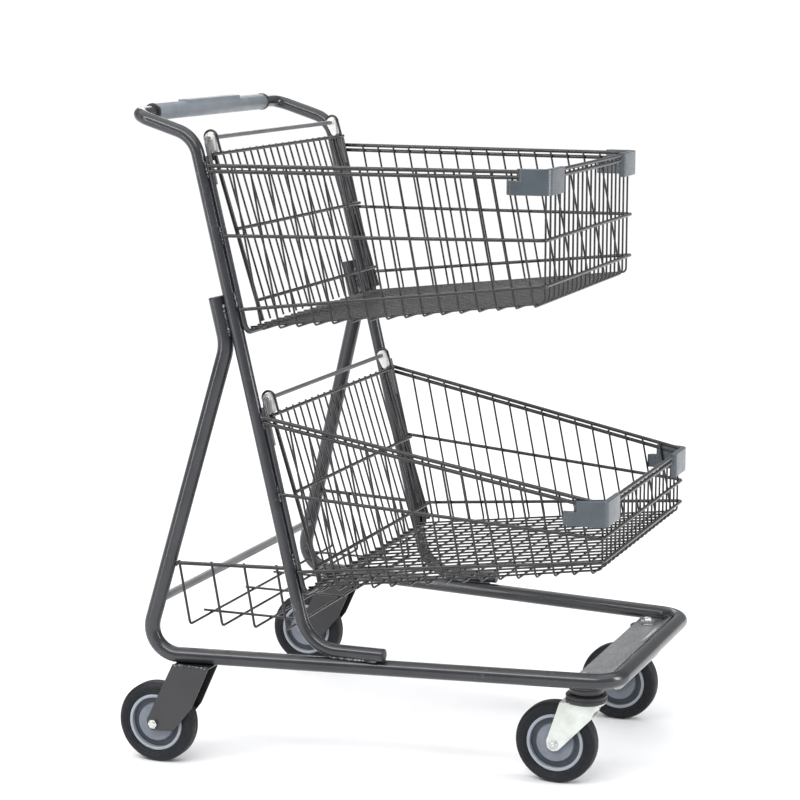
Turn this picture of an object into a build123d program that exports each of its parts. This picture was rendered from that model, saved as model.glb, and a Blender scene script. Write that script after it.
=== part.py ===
from build123d import *
import os
from math import acos, atan, atan2, cos, degrees, hypot, radians, sin, tan

# Two-basket shopping cart: bent tube frame, wire baskets with hinged rear gates,
# a low wire tray, swivel casters in front and fixed wheels behind.
# X is forward, Y is to the cart's left and Z is up, in millimetres.
# The origin is on the floor, under the middle of the cart.

# Clearances
weld_gap = 0.05       # between pieces that are welded or pressed together
running_gap = 0.06    # radial, between a shaft and what turns on it
stop_gap = 0.3        # between a moving piece and its stop or neighbour

# Frame tubes
tube_d = 24.0
tube_wall = 1.6
upright_d = 20.0
upright_wall = 1.5
base_front_x = 376.5
base_rear_x = -342.1
base_front_half = 204.6
base_rear_half = 301.9
base_corner_r = 45.0
leg_bend_r = 43.0
knee_r = 70.0
knee_z = 645.8
leg_top_z = 716.0
handle_half = 260.6
upright_lean = 13.1
upright_foot_x = -87.6
stub_end_x = 34.0
foot_bend_r = 60.0
arm_bend_r = 48.0
arm_start_z = 955.4
handle_x = -363.0
handle_z = 986.8
handle_corner_r = 26.0
cap_length = 14.0
cap_flange = 2.6
cap_edge_r = 1.8
cross_tube_d = 12.7
cross_tube_wall = 1.2
cross_tube_z = 253.5

# Grip sleeve on the handle
grip_d = 25.5
grip_half = 198.0
grip_ring_d = 27.5
grip_ring_length = 5.0
label_length = 190.0
label_width = 18.0
label_rise = 2.4
label_edge_r = 1.2

# Basket wire
wire_d = 3.2
rim_d = 6.0
rail_d = 5.4
rim_pitch = 8.2
post_d = 8.0
post_rise = 14.0
post_bend_r = 14.0
wire_bend_r = 7.0
rail_bend_r = 10.0
hook_tail = 2.0   # straight run that a bent wire keeps past its bend
side_wire_pitch = 27.5
side_wire_start = 25.0
side_wire_lean = 11.0
front_wire_count = 20
front_wire_margin = 10.0
floor_overlap = 2.7   # of the lengthwise wires past the middle of the rear bar

# Upper basket: heights at the rear posts and at the front
upper_front_x = 266.0
upper_front_half = 221.0
upper_rim = (913.5, 914.0)
upper_mid = (810.5, 817.0)
upper_low = (701.5, 751.5)
upper_bar_z = 667.0
upper_floor_front_z = 722.0
upper_hinge_z = 952.5

# Lower basket
lower_front_x = 357.0
lower_front_half = 223.5
lower_rim = (541.5, 440.5)
lower_mid = (426.5, 390.2)
lower_low = (310.0, 355.6)
lower_bar_z = 275.0
lower_floor_front_z = 338.0
lower_hinge_z = 565.0

# Gates
hinge_d = 6.8
hinge_bend_r = 10.0
hinge_leg_drop = 68.0
gate_lean = 17.0
gate_side_gap = 18.6   # between the hinge rod's legs and the gate's side rods
gate_side_d = 6.5
gate_loop_d = 3.8
gate_bottom_gap = 8.0
gate_top_drop = 25.6
gate_wire_overlap = 4.0
gate_mid_overhang = 8.0
upper_gate_mid_drop = 141.0
upper_gate_low_drop = 251.0
lower_gate_mid_drop = 146.0
lower_gate_low_drop = 262.0
gate_wire_count = 18
clip_r = 8.0
clip_width = 13.0
clip_tip_drop = 18.0
clip_tip_r = 4.5
loop_top_rise = 1.0

# Corner bumpers
bumper_cover = 3.6
bumper_height = 38.0
bumper_side = 59.0
bumper_side_top = 44.0
bumper_front = 70.0
bumper_r = 15.0
bumper_rise = 4.6
bumper_step_gap = 1.0
bumper_wire_gap = 1.0   # keeps the bumper off the leaning side wires

# Low wire tray
tray_rail_d = 6.0
tray_wire_d = 4.0
tray_rail_z = 312.5
tray_floor_z = 217.0
tray_leg_gap = 14.2      # from the leg's axis to the first wire
tray_upright_gap = 23.6  # from the last wire to the upright's axis
tray_lean = 10.3
tray_bend_r = 6.0
tray_wire_count = 4
tray_long_half = (210.0, 55.0)
tray_overhang = 11.0

# Wheels
wheel_d = 125.0
wheel_width = 28.0
tyre_inner_d = 88.0
tyre_shoulder = 8.0
hub_width = 26.0
hub_groove_outer_d = 78.0
hub_groove_inner_d = 58.0
hub_groove_depth = 7.0
hub_dish_depth = 2.0
hub_groove_draft = 0.5
bearing_d = 22.0
bearing_width = 7.0
axle_d = 8.0
axle_hex = 13.0
axle_head_height = 5.3
rivet_head_d = 14.0
axle_end = 3.0
fork_clearance = 2.6

# Fixed rear forks
rear_axle_x = -323.5
rear_wheel_half = 292.5
rear_fork_wall = 3.0
rear_fork_back = 33.0
rear_fork_front = 94.0
rear_fork_corner_r = 7.0
rear_fork_low = [(-12, 4), (-7, -11), (32, -9), (47, 8), (64, 30)]   # from the axle

# Front casters
swivel_setback = 53.2   # behind the axis of the front tube
swivel_inset = 40.1     # inside the axis of the side tube
trail = 45.0
front_fork_wall = 2.5
fork_eye_r = 11.5
fork_eye = [(-11.5, 2), (-4, -9), (8, -8)]   # tangent to the eye, from the axle
crown_clearance = 3.5
crown_d = 58.0
crown_back = 36.0
crown_front = 24.0
gusset = [(13, -22), (17, -12)]   # front of the fork's sides, from the crown's centre
gusset_rise = 6.0
race_d = 62.0
race_height = 13.0
race_edge_r = 2.0
seat_d = 56.0
seat_height = 16.65
kingpin_d = 12.0
kingpin_hex = 19.0
kingpin_head_d = 20.0
kingpin_head_height = 2.5
kingpin_end = 3.0
kingpin_nut_height = 9.0
plate_front_gap = 14.5  # behind the axis of the front tube
plate_flange = 21.0
plate_depth = 38.0
plate_thickness = 3.5
plate_flange_rise = 9.0
slot_length = 90.0
slot_width = 9.0

# Places worked out from the sizes above
cutter_size = 400.0     # longer than anything that is cut
tube_r = tube_d / 2
upright_r = upright_d / 2
tube_bore = tube_d - 2 * tube_wall
upright_bore = upright_d - 2 * upright_wall
lean_tan = tan(radians(upright_lean))
lean_cos = cos(radians(upright_lean))
axle_z = wheel_d / 2
fork_gap = wheel_width / 2 + fork_clearance
crown_z = wheel_d + crown_clearance
fork_top_z = crown_z + stop_gap + race_height + seat_height
base_z = fork_top_z + weld_gap + tube_r
stub_z = base_z + tube_r + upright_r + weld_gap


def upright_x(z):
    """X of the uprights' axis at a height."""
    return upright_foot_x - (z - stub_z) * lean_tan


def leg_x(z):
    """X of the leg tops, which lie against the back of the uprights."""
    return upright_x(z) - (tube_r + upright_r + weld_gap) / lean_cos


def post_x(z):
    """X of the basket posts, which lie against the front of the uprights."""
    return upright_x(z) + (upright_r + post_d / 2 + weld_gap) / lean_cos


def base_half(x):
    """Half width of the base loop at a place along the cart."""
    share = (x - base_rear_x) / (base_front_x - base_rear_x)
    return base_rear_half + (base_front_half - base_rear_half) * share


swivel_x = base_front_x - swivel_setback
swivel_half = base_half(swivel_x) - swivel_inset


def swept(points, radii, diameter, bore=0):
    """Sweep a round section along straight runs joined by arcs."""
    path = FilletPolyline(*points, radius=radii) if radii else Line(*points)
    section = Circle(diameter / 2)
    if bore:
        section = section - Circle(bore / 2)
    return sweep(Plane(origin=path @ 0, z_dir=path % 0) * section, path=path)


def straight(start, end, diameter, bore=0):
    """A straight rod or tube between two points."""
    return swept([start, end], None, diameter, bore)


def tangent_length(before, corner, after, radius):
    """Length that a bend takes from each of the runs that meet at its corner."""
    turn = 180 - (before - corner).get_angle(after - corner)
    return radius * tan(radians(turn / 2))


def bent(points, radii, diameter, bore=0):
    """A bent tube as straight runs and bends that meet face to face."""
    corners = [Vector(*point) for point in points]
    pieces = []
    start = corners[0]
    for index, radius in enumerate(radii, 1):
        before, corner, after = corners[index - 1:index + 2]
        cut = tangent_length(before, corner, after, radius)
        entry = corner + (before - corner).normalized() * cut
        leave = corner + (after - corner).normalized() * cut
        pieces.append(straight(start, entry, diameter, bore))
        arc = TangentArc(entry, leave, tangent=(corner - before).normalized())
        section = Circle(diameter / 2)
        if bore:
            section = section - Circle(bore / 2)
        pieces.append(sweep(Plane(origin=arc @ 0, z_dir=arc % 0) * section, path=arc))
        start = leave
    pieces.append(straight(start, corners[-1], diameter, bore))
    return pieces


def hook(start, corner, end, radius, diameter, tail=hook_tail):
    """A wire with one bend, and the point where it stops, a little past the bend."""
    start, corner, end = Vector(*start), Vector(*corner), Vector(*end)
    stop = corner + (end - corner).normalized() * (radius + tail)
    return swept([start, corner, stop], [radius], diameter), stop


def mirrored(points):
    """The same points on the other side of the cart."""
    return [(x, -y, z) for x, y, z in points]


def right_and_left(points):
    """A full path from the right side's points and their mirror images."""
    return points + mirrored(points)[::-1]


def flipped(shape):
    """The same solid on the other side of the cart."""
    return mirror(shape, about=Plane.XZ)


def both_sides(shapes):
    """Solids of the right side with their mirror images."""
    return shapes + [flipped(shape) for shape in shapes]


def hexagon(across_flats, height):
    """A hexagonal prism standing on the XY plane."""
    return extrude(RegularPolygon(across_flats / 2, 6, major_radius=False), height)


def save(name, shapes):
    """Write the solids of one node to its STEP file."""
    solids = []
    for shape in shapes:
        solids.extend(shape.solids())
    export_step(Compound(children=solids), f"parts/{name}.step")


# Frame -------------------------------------------------------------------

knee = (leg_x(knee_z), -handle_half, knee_z)
rear_corner = (base_rear_x, -base_rear_half, base_z)
front_corner = (base_front_x, -base_front_half, base_z)
leg_top = (leg_x(leg_top_z), -handle_half, leg_top_z)
stub_end = (stub_end_x, -handle_half, stub_z)
upright_foot = (upright_foot_x, -handle_half, stub_z)
upright_top = (upright_x(arm_start_z), -handle_half, arm_start_z)
handle_corner = (handle_x, -handle_half, handle_z)


def leg_point(z):
    """Point on the right leg's axis, between the knee and the rear corner."""
    share = (knee_z - z) / (knee_z - base_z)
    return Vector(*knee) + (Vector(*rear_corner) - Vector(*knee)) * share


def leg_cutter():
    """Slightly oversize right leg that copes the pieces welded to it."""
    return straight(knee, rear_corner, tube_d + 2 * weld_gap)


def upright_cutter():
    """Slightly oversize right upright that copes the pieces welded to it."""
    return straight(upright_foot, upright_top, upright_d + 2 * weld_gap)


def base_tube():
    """The base loop with its two legs, one bent tube."""
    points = right_and_left([leg_top, knee, rear_corner, front_corner])
    bends = [knee_r, leg_bend_r, base_corner_r]
    return bent(points, bends + bends[::-1], tube_d, tube_bore)


def handle_tube():
    """The uprights with the handle, one bent tube."""
    points = right_and_left([stub_end, upright_foot, upright_top, handle_corner])
    bends = [foot_bend_r, arm_bend_r, handle_corner_r]
    return bent(points, bends + bends[::-1], upright_d, upright_bore)


def end_cap(diameter, bore):
    """Plastic plug with its flange on the XY plane and its stem below."""
    stem = Pos(0, 0, -cap_length / 2) * Cylinder(bore / 2 - weld_gap, cap_length)
    flange = Pos(0, 0, cap_flange / 2) * Cylinder(diameter / 2, cap_flange)
    flange = fillet(flange.edges().group_by(Axis.Z)[-1], cap_edge_r)
    return stem + flange


def tube_caps():
    """Plugs in the four open ends of the tubes."""
    stub = Plane(origin=stub_end, z_dir=(1, 0, 0)) * end_cap(upright_d, upright_bore)
    up = (Vector(*leg_top) - Vector(*knee)).normalized()
    top = Plane(origin=leg_top, z_dir=up) * end_cap(tube_d, tube_bore)
    return both_sides([stub, top])


def rear_cross_tube():
    """Thin tube between the legs, coped onto both."""
    end = leg_point(cross_tube_z)
    bore = cross_tube_d - 2 * cross_tube_wall
    tube = straight(end, mirrored([tuple(end)])[0], cross_tube_d, bore)
    cutter = leg_cutter()
    return [(tube - cutter - flipped(cutter)).solids().sort_by(SortBy.VOLUME)[-1]]


def grip_sleeve():
    """Plastic sleeve with a raised blank label panel."""
    bar = Plane(origin=(handle_x, -grip_half, handle_z), z_dir=(0, 1, 0))
    sleeve = bar * extrude(Circle(grip_d / 2), 2 * grip_half)
    rise = grip_d / 2 + label_rise
    panel = Pos(handle_x, 0, handle_z + rise / 2) * Box(label_width, label_length, rise)
    panel = fillet(panel.edges().filter_by(Axis.Y).group_by(Axis.Z)[-1], label_edge_r)
    bore = bar * extrude(Circle(upright_r + weld_gap), 2 * grip_half)
    return [sleeve + panel - bore]


def grip_rings():
    """Dark rings that close the two ends of the sleeve."""
    start = (handle_x, -grip_half - grip_ring_length - weld_gap, handle_z)
    ring = Circle(grip_ring_d / 2) - Circle(upright_r + weld_gap)
    return both_sides([Plane(origin=start, z_dir=(0, 1, 0)) * extrude(ring, grip_ring_length)])


# Baskets -----------------------------------------------------------------


class Basket:
    """Sizes of one basket, and the surfaces that its wires lie on."""

    def __init__(self, front_x, front_half, rim, mid, low, bar_z, floor_front_z):
        self.front_x = front_x
        self.rim = rim
        self.rails = (mid, low)
        self.bar_z = bar_z
        self.bar_x = post_x(bar_z)
        self.post_half = handle_half + post_d / 2 + weld_gap - wire_d / 2
        reach = front_x - post_x(rim[1])
        self.taper = (self.post_half - front_half) / reach
        rest = (wire_d + post_d) / 2 + weld_gap
        self.long_rear_z = bar_z + rest
        self.floor_front_z = floor_front_z
        self.slope = atan((floor_front_z - self.long_rear_z + wire_d) / (front_x - self.bar_x))

    def half(self, x, z):
        """Half width at the axes of the side wires."""
        return self.post_half - self.taper * (x - post_x(z))

    def long_z(self, x):
        """Height of the lengthwise floor wires."""
        return self.long_rear_z + (x - self.bar_x) * tan(self.slope)

    def cross_z(self, x):
        """Height of the crosswise floor wires, which lie under the lengthwise ones."""
        return self.long_z(x) - (wire_d + weld_gap) / cos(self.slope)

    def rail_z(self, rail, x):
        """Height of a rail that runs from the posts to the front."""
        rear_x = post_x(rail[0])
        return rail[0] + (rail[1] - rail[0]) * (x - rear_x) / (self.front_x - rear_x)

    def rails_with_sizes(self):
        """Each rail's heights and its diameter, from the top down."""
        lower_rim = (self.rim[0] - rim_pitch, self.rim[1] - rim_pitch)
        sizes = [(self.rim, rim_d), (lower_rim, rim_d)]
        return sizes + [(rail, rail_d) for rail in self.rails]


upper = Basket(upper_front_x, upper_front_half, upper_rim, upper_mid, upper_low,
               upper_bar_z, upper_floor_front_z)
lower = Basket(lower_front_x, lower_front_half, lower_rim, lower_mid, lower_low,
               lower_bar_z, lower_floor_front_z)


def rail_path(basket, rail, diameter):
    """Rear end, front corner and front end of a rail's right half."""
    out = (wire_d + diameter) / 2 + weld_gap
    rear_x = post_x(rail[0])
    rear = (rear_x, -basket.half(rear_x, rail[0]) - out, rail[0])
    front_x = basket.front_x + out
    corner = (front_x, -basket.half(front_x, rail[1]) - out, rail[1])
    return rear, corner, (front_x, 0, rail[1])


def basket_rails(basket):
    """Rails that run round both sides and the front, outside the thin wires."""
    pieces = []
    for rail, diameter in basket.rails_with_sizes():
        rear, corner, centre = rail_path(basket, rail, diameter)
        side, stop = hook(rear, corner, centre, rail_bend_r, diameter)
        pieces.extend(both_sides([side]))
        pieces.append(straight(stop, (stop.X, -stop.Y, stop.Z), diameter))
    return pieces


def side_wire_top(basket, x, z):
    """Top end of a leaning side wire whose foot is at x and z."""
    lean = tan(radians(side_wire_lean))
    rear_x = post_x(basket.rim[0])
    fall = (basket.rim[1] - basket.rim[0]) / (basket.front_x - rear_x)
    top_x = (x - (basket.rim[0] - fall * rear_x - z) * lean) / (1 + fall * lean)
    top_z = basket.rail_z(basket.rim, top_x)
    return top_x, -basket.half(top_x, top_z), top_z


def cross_wires(basket):
    """Wires that go down one side, under the floor and up the other side."""
    pieces = []
    first = basket.bar_x + side_wire_start
    count = int((basket.front_x - wire_bend_r - wire_d - first) / side_wire_pitch) + 1
    for index in range(count):
        x = first + index * side_wire_pitch
        z = basket.cross_z(x)
        foot = (x, -basket.half(x, z), z)
        top = side_wire_top(basket, x, z)
        side, stop = hook(top, foot, (x, 0, z), wire_bend_r, wire_d)
        pieces.extend(both_sides([side]))
        pieces.append(straight(stop, (stop.X, -stop.Y, stop.Z), wire_d))
    return pieces


def long_wires(basket):
    """Wires that go down the front and back along the floor, fanning out a little."""
    pieces = []
    floor_z = basket.long_z(basket.front_x)
    front_half = basket.half(basket.front_x, floor_z) - front_wire_margin
    rear_x = basket.bar_x - floor_overlap
    rear_half = basket.half(basket.bar_x, basket.bar_z) - front_wire_margin - post_bend_r
    for index in range(front_wire_count):
        share = 2 * index / (front_wire_count - 1) - 1
        y = share * front_half
        top = (basket.front_x, y, basket.rim[1])
        foot = (basket.front_x, y, floor_z)
        rear = (rear_x, share * rear_half, basket.long_z(rear_x))
        front, stop = hook(top, foot, rear, wire_bend_r, wire_d)
        pieces.append(front)
        pieces.append(straight(stop, rear, wire_d))
    return pieces


def rear_hoop(basket):
    """Posts against the uprights, joined by the bar under the rear of the floor."""
    top_z = basket.rim[0] + post_rise
    points = [(post_x(top_z), -handle_half, top_z), (basket.bar_x, -handle_half, basket.bar_z)]
    return bent(right_and_left(points), [post_bend_r] * 2, post_d)


def hinge_rod(hinge_z):
    """Rod that carries the gate, bent down at both ends beside the posts."""
    half = hinge_leg_half()
    foot_z = hinge_z - hinge_leg_drop
    points = [(post_x(foot_z), -half, foot_z), (post_x(hinge_z), -half, hinge_z)]
    return bent(right_and_left(points), [hinge_bend_r] * 2, hinge_d)


def hinge_leg_half():
    """Half distance between the hinge rod's two legs."""
    return handle_half - (post_d + hinge_d) / 2 - weld_gap


def bumper(basket):
    """Plastic bumper on the right front corner, clipped over the two rim rails."""
    out = (wire_d + rim_d) / 2 + weld_gap
    inner = wire_d / 2 + bumper_wire_gap
    outer = out + rim_d / 2 + bumper_cover
    top_z = basket.rim[1] + bumper_rise
    corner = Vector(basket.front_x, -basket.half(basket.front_x, basket.rim[1]))
    back = Vector(-1, -basket.taper).normalized()
    inside = Vector(0, 1)
    side_out = Vector(basket.taper, -1).normalized()

    def offset_corner(distance):
        """Corner of the wire planes moved outward by a distance."""
        front_x = corner.X + distance
        along = corner + side_out * distance
        step = (front_x - along.X) / back.X
        return along + back * step

    near, far = offset_corner(inner), offset_corner(outer)
    outline = [near, near + inside * bumper_front, far + inside * bumper_front, far,
               far + back * bumper_side, near + back * bumper_side]
    face = make_face(Polyline(*outline, close=True))
    body = Pos(0, 0, top_z - bumper_height) * extrude(face, bumper_height)
    edge = body.edges().filter_by(Axis.Z).sort_by_distance((far.X, far.Y, top_z))[0]
    body = fillet(edge, bumper_r)
    step = bumper_side - bumper_side_top
    block = Pos(0, 0, bumper_height / 2) * Box(2 * step, bumper_side, bumper_height)
    place = far + back * bumper_side
    turn = degrees(atan(-basket.taper))
    cut_z = basket.rim[1] - rim_pitch - rim_d / 2 - bumper_step_gap
    body = body - Pos(place.X, place.Y, cut_z) * Rot(0, 0, -turn) * block
    for rail, diameter in basket.rails_with_sizes()[:2]:
        rear, bend, centre = rail_path(basket, rail, diameter)
        size = diameter + 2 * weld_gap
        groove, _ = hook(rear, bend, centre, rail_bend_r, size, 2 * bumper_front)
        body = body - groove
    return body


# Gates -------------------------------------------------------------------

gate_half = hinge_leg_half() - gate_side_gap


def gate_place(hinge_z, drop, y, forward):
    """Point on a gate: its distance down from the hinge axis and forward of it."""
    lean = radians(gate_lean)
    x = post_x(hinge_z) + drop * sin(lean) + forward * cos(lean)
    z = hinge_z - drop * cos(lean) + forward * sin(lean)
    return x, y, z


def gate_rail_forward():
    """How far forward of the hinge axis the gate's rails lie.

    The top rail rests on the front of the hinge rod's legs.
    """
    swing = radians(gate_lean - upright_lean)
    rest = (hinge_d + rail_d) / 2 + stop_gap
    return (rest - gate_top_drop * sin(swing)) / cos(swing)


def gate_wire_forward():
    """How far forward of the hinge axis the gate's thin wires lie."""
    return gate_rail_forward() - (rail_d + wire_d) / 2 - weld_gap


def gate_side_forward():
    """How far forward of the hinge axis the gate's side rods lie."""
    return gate_rail_forward() - (rail_d + gate_side_d) / 2 - weld_gap


def gate_length(basket, hinge_z):
    """Distance from the hinge axis down to the ends of the gate's wires."""
    floor_z = basket.long_rear_z + wire_d / 2 + gate_bottom_gap
    return (hinge_z - floor_z) / cos(radians(gate_lean))


def gate_rails(hinge_z, mid_drop, low_drop):
    """The three cross rails of a gate."""
    forward = gate_rail_forward()
    halves = [(gate_top_drop, hinge_leg_half()), (mid_drop, gate_half + gate_mid_overhang)]
    halves.append((low_drop, gate_half))
    rails = []
    for drop, half in halves:
        start = gate_place(hinge_z, drop, -half, forward)
        end = gate_place(hinge_z, drop, half, forward)
        rails.append(straight(start, end, rail_d))
    return rails


def gate_wires(hinge_z, length):
    """The thin upright wires of a gate."""
    forward = gate_wire_forward()
    pitch = 2 * gate_half / (gate_wire_count + 1)
    wires = []
    for index in range(gate_wire_count):
        y = (index + 1) * pitch - gate_half
        start = gate_place(hinge_z, gate_top_drop - gate_wire_overlap, y, forward)
        end = gate_place(hinge_z, length, y, forward)
        wires.append(straight(start, end, wire_d))
    return wires


def gate_side_rods(hinge_z, length):
    """The thick rods down both sides of a gate."""
    forward = gate_side_forward()
    start = gate_place(hinge_z, clip_tip_drop + clip_tip_r + 2 * weld_gap, -gate_half, forward)
    end = gate_place(hinge_z, length, -gate_half, forward)
    return both_sides([straight(start, end, gate_side_d)])


def gate_loops(hinge_z):
    """Wire loops that hold the clips on the hinge rod."""
    reach = clip_r + gate_loop_d / 2 + weld_gap
    top = -reach - loop_top_rise
    front = gate_rail_forward() + (rail_d + gate_loop_d) / 2 + weld_gap
    back = (gate_side_d + gate_loop_d) / 2 + weld_gap - gate_side_forward()
    foot = gate_top_drop + gate_loop_d * 2

    def beside(drop, forward):
        """Where the line that leaves a foot and touches the clip's rim meets the top."""
        distance = hypot(drop, forward)
        tilt = acos(reach / distance) - atan2(drop, forward)
        return (reach + top * sin(tilt)) / cos(tilt)

    points = [(gate_top_drop, front), (top, beside(gate_top_drop, front))]
    points += [(top, -beside(foot, back)), (foot, -back)]
    path = [gate_place(hinge_z, drop, -gate_half, forward) for drop, forward in points]
    return both_sides([swept(path, [reach] * 2, gate_loop_d)])


def hinge_clips(hinge_z):
    """Bearing clips that turn on the hinge rod and carry the gate."""
    hub = Circle(clip_r)
    tip = Pos(0, -clip_tip_drop) * Circle(clip_tip_r)
    body = extrude(make_hull((hub + tip).edges()), clip_width / 2, both=True)
    bore = Cylinder(hinge_d / 2 + running_gap, 2 * clip_width)
    lean = radians(gate_lean)
    forward = (cos(lean), 0, sin(lean))
    origin = (post_x(hinge_z), -gate_half, hinge_z)
    clip = Plane(origin=origin, x_dir=forward, z_dir=(0, -1, 0)) * (body - bore)
    return both_sides([clip])


# Tray --------------------------------------------------------------------


def tray_rail_ends():
    """Where the right tray rail meets the axes of the leg and the upright."""
    return leg_point(tray_rail_z), Vector(upright_x(tray_rail_z), -handle_half, tray_rail_z)


def tray_ends():
    """X of the first and last tray wires, at the rails."""
    rear, front = tray_rail_ends()
    return rear.X + tray_leg_gap, front.X - tray_upright_gap


def tray_rails():
    """Side rails between the legs and the uprights."""
    rail = straight(*tray_rail_ends(), tray_rail_d) - leg_cutter() - upright_cutter()
    return both_sides([rail.solids().sort_by(SortBy.VOLUME)[-1]])


def tray_half(x):
    """Half width at the axes of the tray wires' sides."""
    rear, front = tray_rail_ends()
    share = (x - rear.X) / (front.X - rear.X)
    angle = atan((front.Y - rear.Y) / (front.X - rear.X))
    inward = ((tray_rail_d + tray_wire_d) / 2 + weld_gap) / cos(angle)
    return -(rear.Y + (front.Y - rear.Y) * share) - inward


def tray_foot_x(top_x):
    """X of a tray wire's foot, from the X of its top."""
    return top_x + (tray_rail_z - tray_floor_z) * tan(radians(tray_lean))


def tray_cross_wires():
    """Wires that hang from one rail to the other and make the tray's floor."""
    pieces = []
    first_x, last_x = tray_ends()
    pitch = (last_x - first_x) / (tray_wire_count - 1)
    for index in range(tray_wire_count):
        x = first_x + index * pitch
        top = (x, -tray_half(x), tray_rail_z + tray_rail_d / 2)
        foot = (tray_foot_x(x), -tray_half(x), tray_floor_z)
        centre = (tray_foot_x(x), 0, tray_floor_z)
        side, stop = hook(top, foot, centre, tray_bend_r, tray_wire_d)
        pieces.extend(both_sides([side]))
        pieces.append(straight(stop, (stop.X, -stop.Y, stop.Z), tray_wire_d))
    return pieces


def tray_long_wires():
    """Lengthwise wires that lie on the tray's floor wires."""
    z = tray_floor_z + tray_wire_d + weld_gap
    first_x, last_x = tray_ends()
    start_x = tray_foot_x(first_x) - tray_overhang
    end_x = tray_foot_x(last_x) + tray_overhang
    wires = [straight((start_x, -half, z), (end_x, -half, z), tray_wire_d)
             for half in tray_long_half]
    return both_sides(wires)


# Wheels ------------------------------------------------------------------
# Each is built with its axle along Y and its centre at the origin.


def ring_profile(inner_r, outer_r, width):
    """Half section of a ring, on the XZ plane."""
    return Plane.XZ * (Pos((inner_r + outer_r) / 2, 0) * Rectangle(outer_r - inner_r, width))


def turned(profile):
    """Turn a half section on the XZ plane into a solid whose axis is along Y."""
    return Rot(90, 0, 0) * revolve(profile, Axis.Z)


def tyre():
    """Rubber tyre with rounded shoulders."""
    ring = turned(ring_profile(tyre_inner_d / 2, wheel_d / 2, wheel_width))
    shoulders = ring.edges().filter_by(GeomType.CIRCLE).group_by(SortBy.RADIUS)[-1]
    return fillet(shoulders, tyre_shoulder)


def hub():
    """Plastic wheel centre with a groove in each face and a seat for each bearing."""
    body = turned(ring_profile(axle_d, tyre_inner_d / 2 - weld_gap, hub_width))
    groove = turned(ring_profile(hub_groove_inner_d / 2, hub_groove_outer_d / 2, hub_groove_depth))
    dish = turned(ring_profile(0, hub_groove_inner_d / 2 + hub_groove_draft, hub_dish_depth))
    seat = turned(ring_profile(0, bearing_d / 2 + weld_gap, bearing_width + hub_dish_depth))
    for side in (-1, 1):
        body = body - Pos(0, side * (hub_width - hub_groove_depth) / 2, 0) * groove
        body = body - Pos(0, side * (hub_width - hub_dish_depth) / 2, 0) * dish
        seat_depth = bearing_width + hub_dish_depth
        body = body - Pos(0, side * (hub_width - seat_depth) / 2, 0) * seat
    return body


def bearings():
    """The two bearings of a wheel."""
    ring = turned(ring_profile(axle_d / 2 + running_gap, bearing_d / 2, bearing_width))
    offset = hub_width / 2 - hub_dish_depth - bearing_width / 2
    return [Pos(0, side * offset, 0) * ring for side in (-1, 1)]


def axle_bolt(wall, round_head):
    """Bolt or rivet through the fork, with its head on the outer side."""
    half = fork_gap + wall + weld_gap
    length = 2 * half + axle_head_height + axle_end
    shaft = Plane(origin=(0, -half, 0), z_dir=(0, 1, 0)) * extrude(Circle(axle_d / 2), length)
    if round_head:
        dome = fillet(Cylinder(rivet_head_d / 2, axle_head_height).edges().group_by(Axis.Z)[-1],
                      axle_head_height / 2)
        head = Plane(origin=(0, -half - axle_head_height / 2, 0), z_dir=(0, -1, 0)) * dome
        return shaft + head
    head_start = (0, -half - axle_head_height, 0)
    head = Plane(origin=head_start, z_dir=(0, 1, 0)) * hexagon(axle_hex, axle_head_height)
    return shaft + head


def axle_nut(wall):
    """Nut on the inner side of the fork."""
    start = (0, fork_gap + wall + weld_gap, 0)
    nut = Plane(origin=start, z_dir=(0, 1, 0)) * hexagon(axle_hex, axle_head_height)
    return nut - axle_hole()


def axle_hole():
    """Cutter for the axle holes of a fork."""
    return Rot(90, 0, 0) * Cylinder(axle_d / 2 + weld_gap, cutter_size)


def fork_from(outline, wall, top):
    """Channel-shaped fork from the outline of its sides and the height of its top."""
    side = Plane(origin=(0, 0, 0), x_dir=(1, 0, 0), z_dir=(0, -1, 0)) * outline
    body = extrude(side, fork_gap + wall, both=True)
    room = Pos(0, 0, top - wall - cutter_size / 2) * Box(cutter_size, 2 * fork_gap, cutter_size)
    return body - room - axle_hole()


def rear_fork():
    """Fixed fork whose sides run forward and up to the base tube."""
    top = fork_top_z - axle_z
    points = [(rear_fork_back, top), *rear_fork_low, (rear_fork_front, top)]
    outline = make_face(Polyline(*points, close=True))
    low = [v for v in outline.vertices() if v.Y < top / 2]
    outline = fillet(low, rear_fork_corner_r)
    return fork_from(outline, rear_fork_wall, top)


def front_fork():
    """Swivel fork, with the origin at the axle and the swivel axis ahead of it."""
    top = crown_z - axle_z
    points = [(trail - crown_back, top), *fork_eye]
    points += [(trail + x, top + z) for x, z in gusset]
    points += [(trail + crown_front, top - gusset_rise), (trail + crown_front, top)]
    outline = make_face(Polyline(*points, close=True)) + Circle(fork_eye_r)
    fork = fork_from(outline, front_fork_wall, top)
    crown = Pos(trail, 0, top - front_fork_wall / 2) * Cylinder(crown_d / 2, front_fork_wall)
    hole = Pos(trail, 0, top) * Cylinder(kingpin_d / 2 + running_gap, crown_d)
    return fork + crown - hole


# Caster seat ---------------------------------------------------------------


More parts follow.
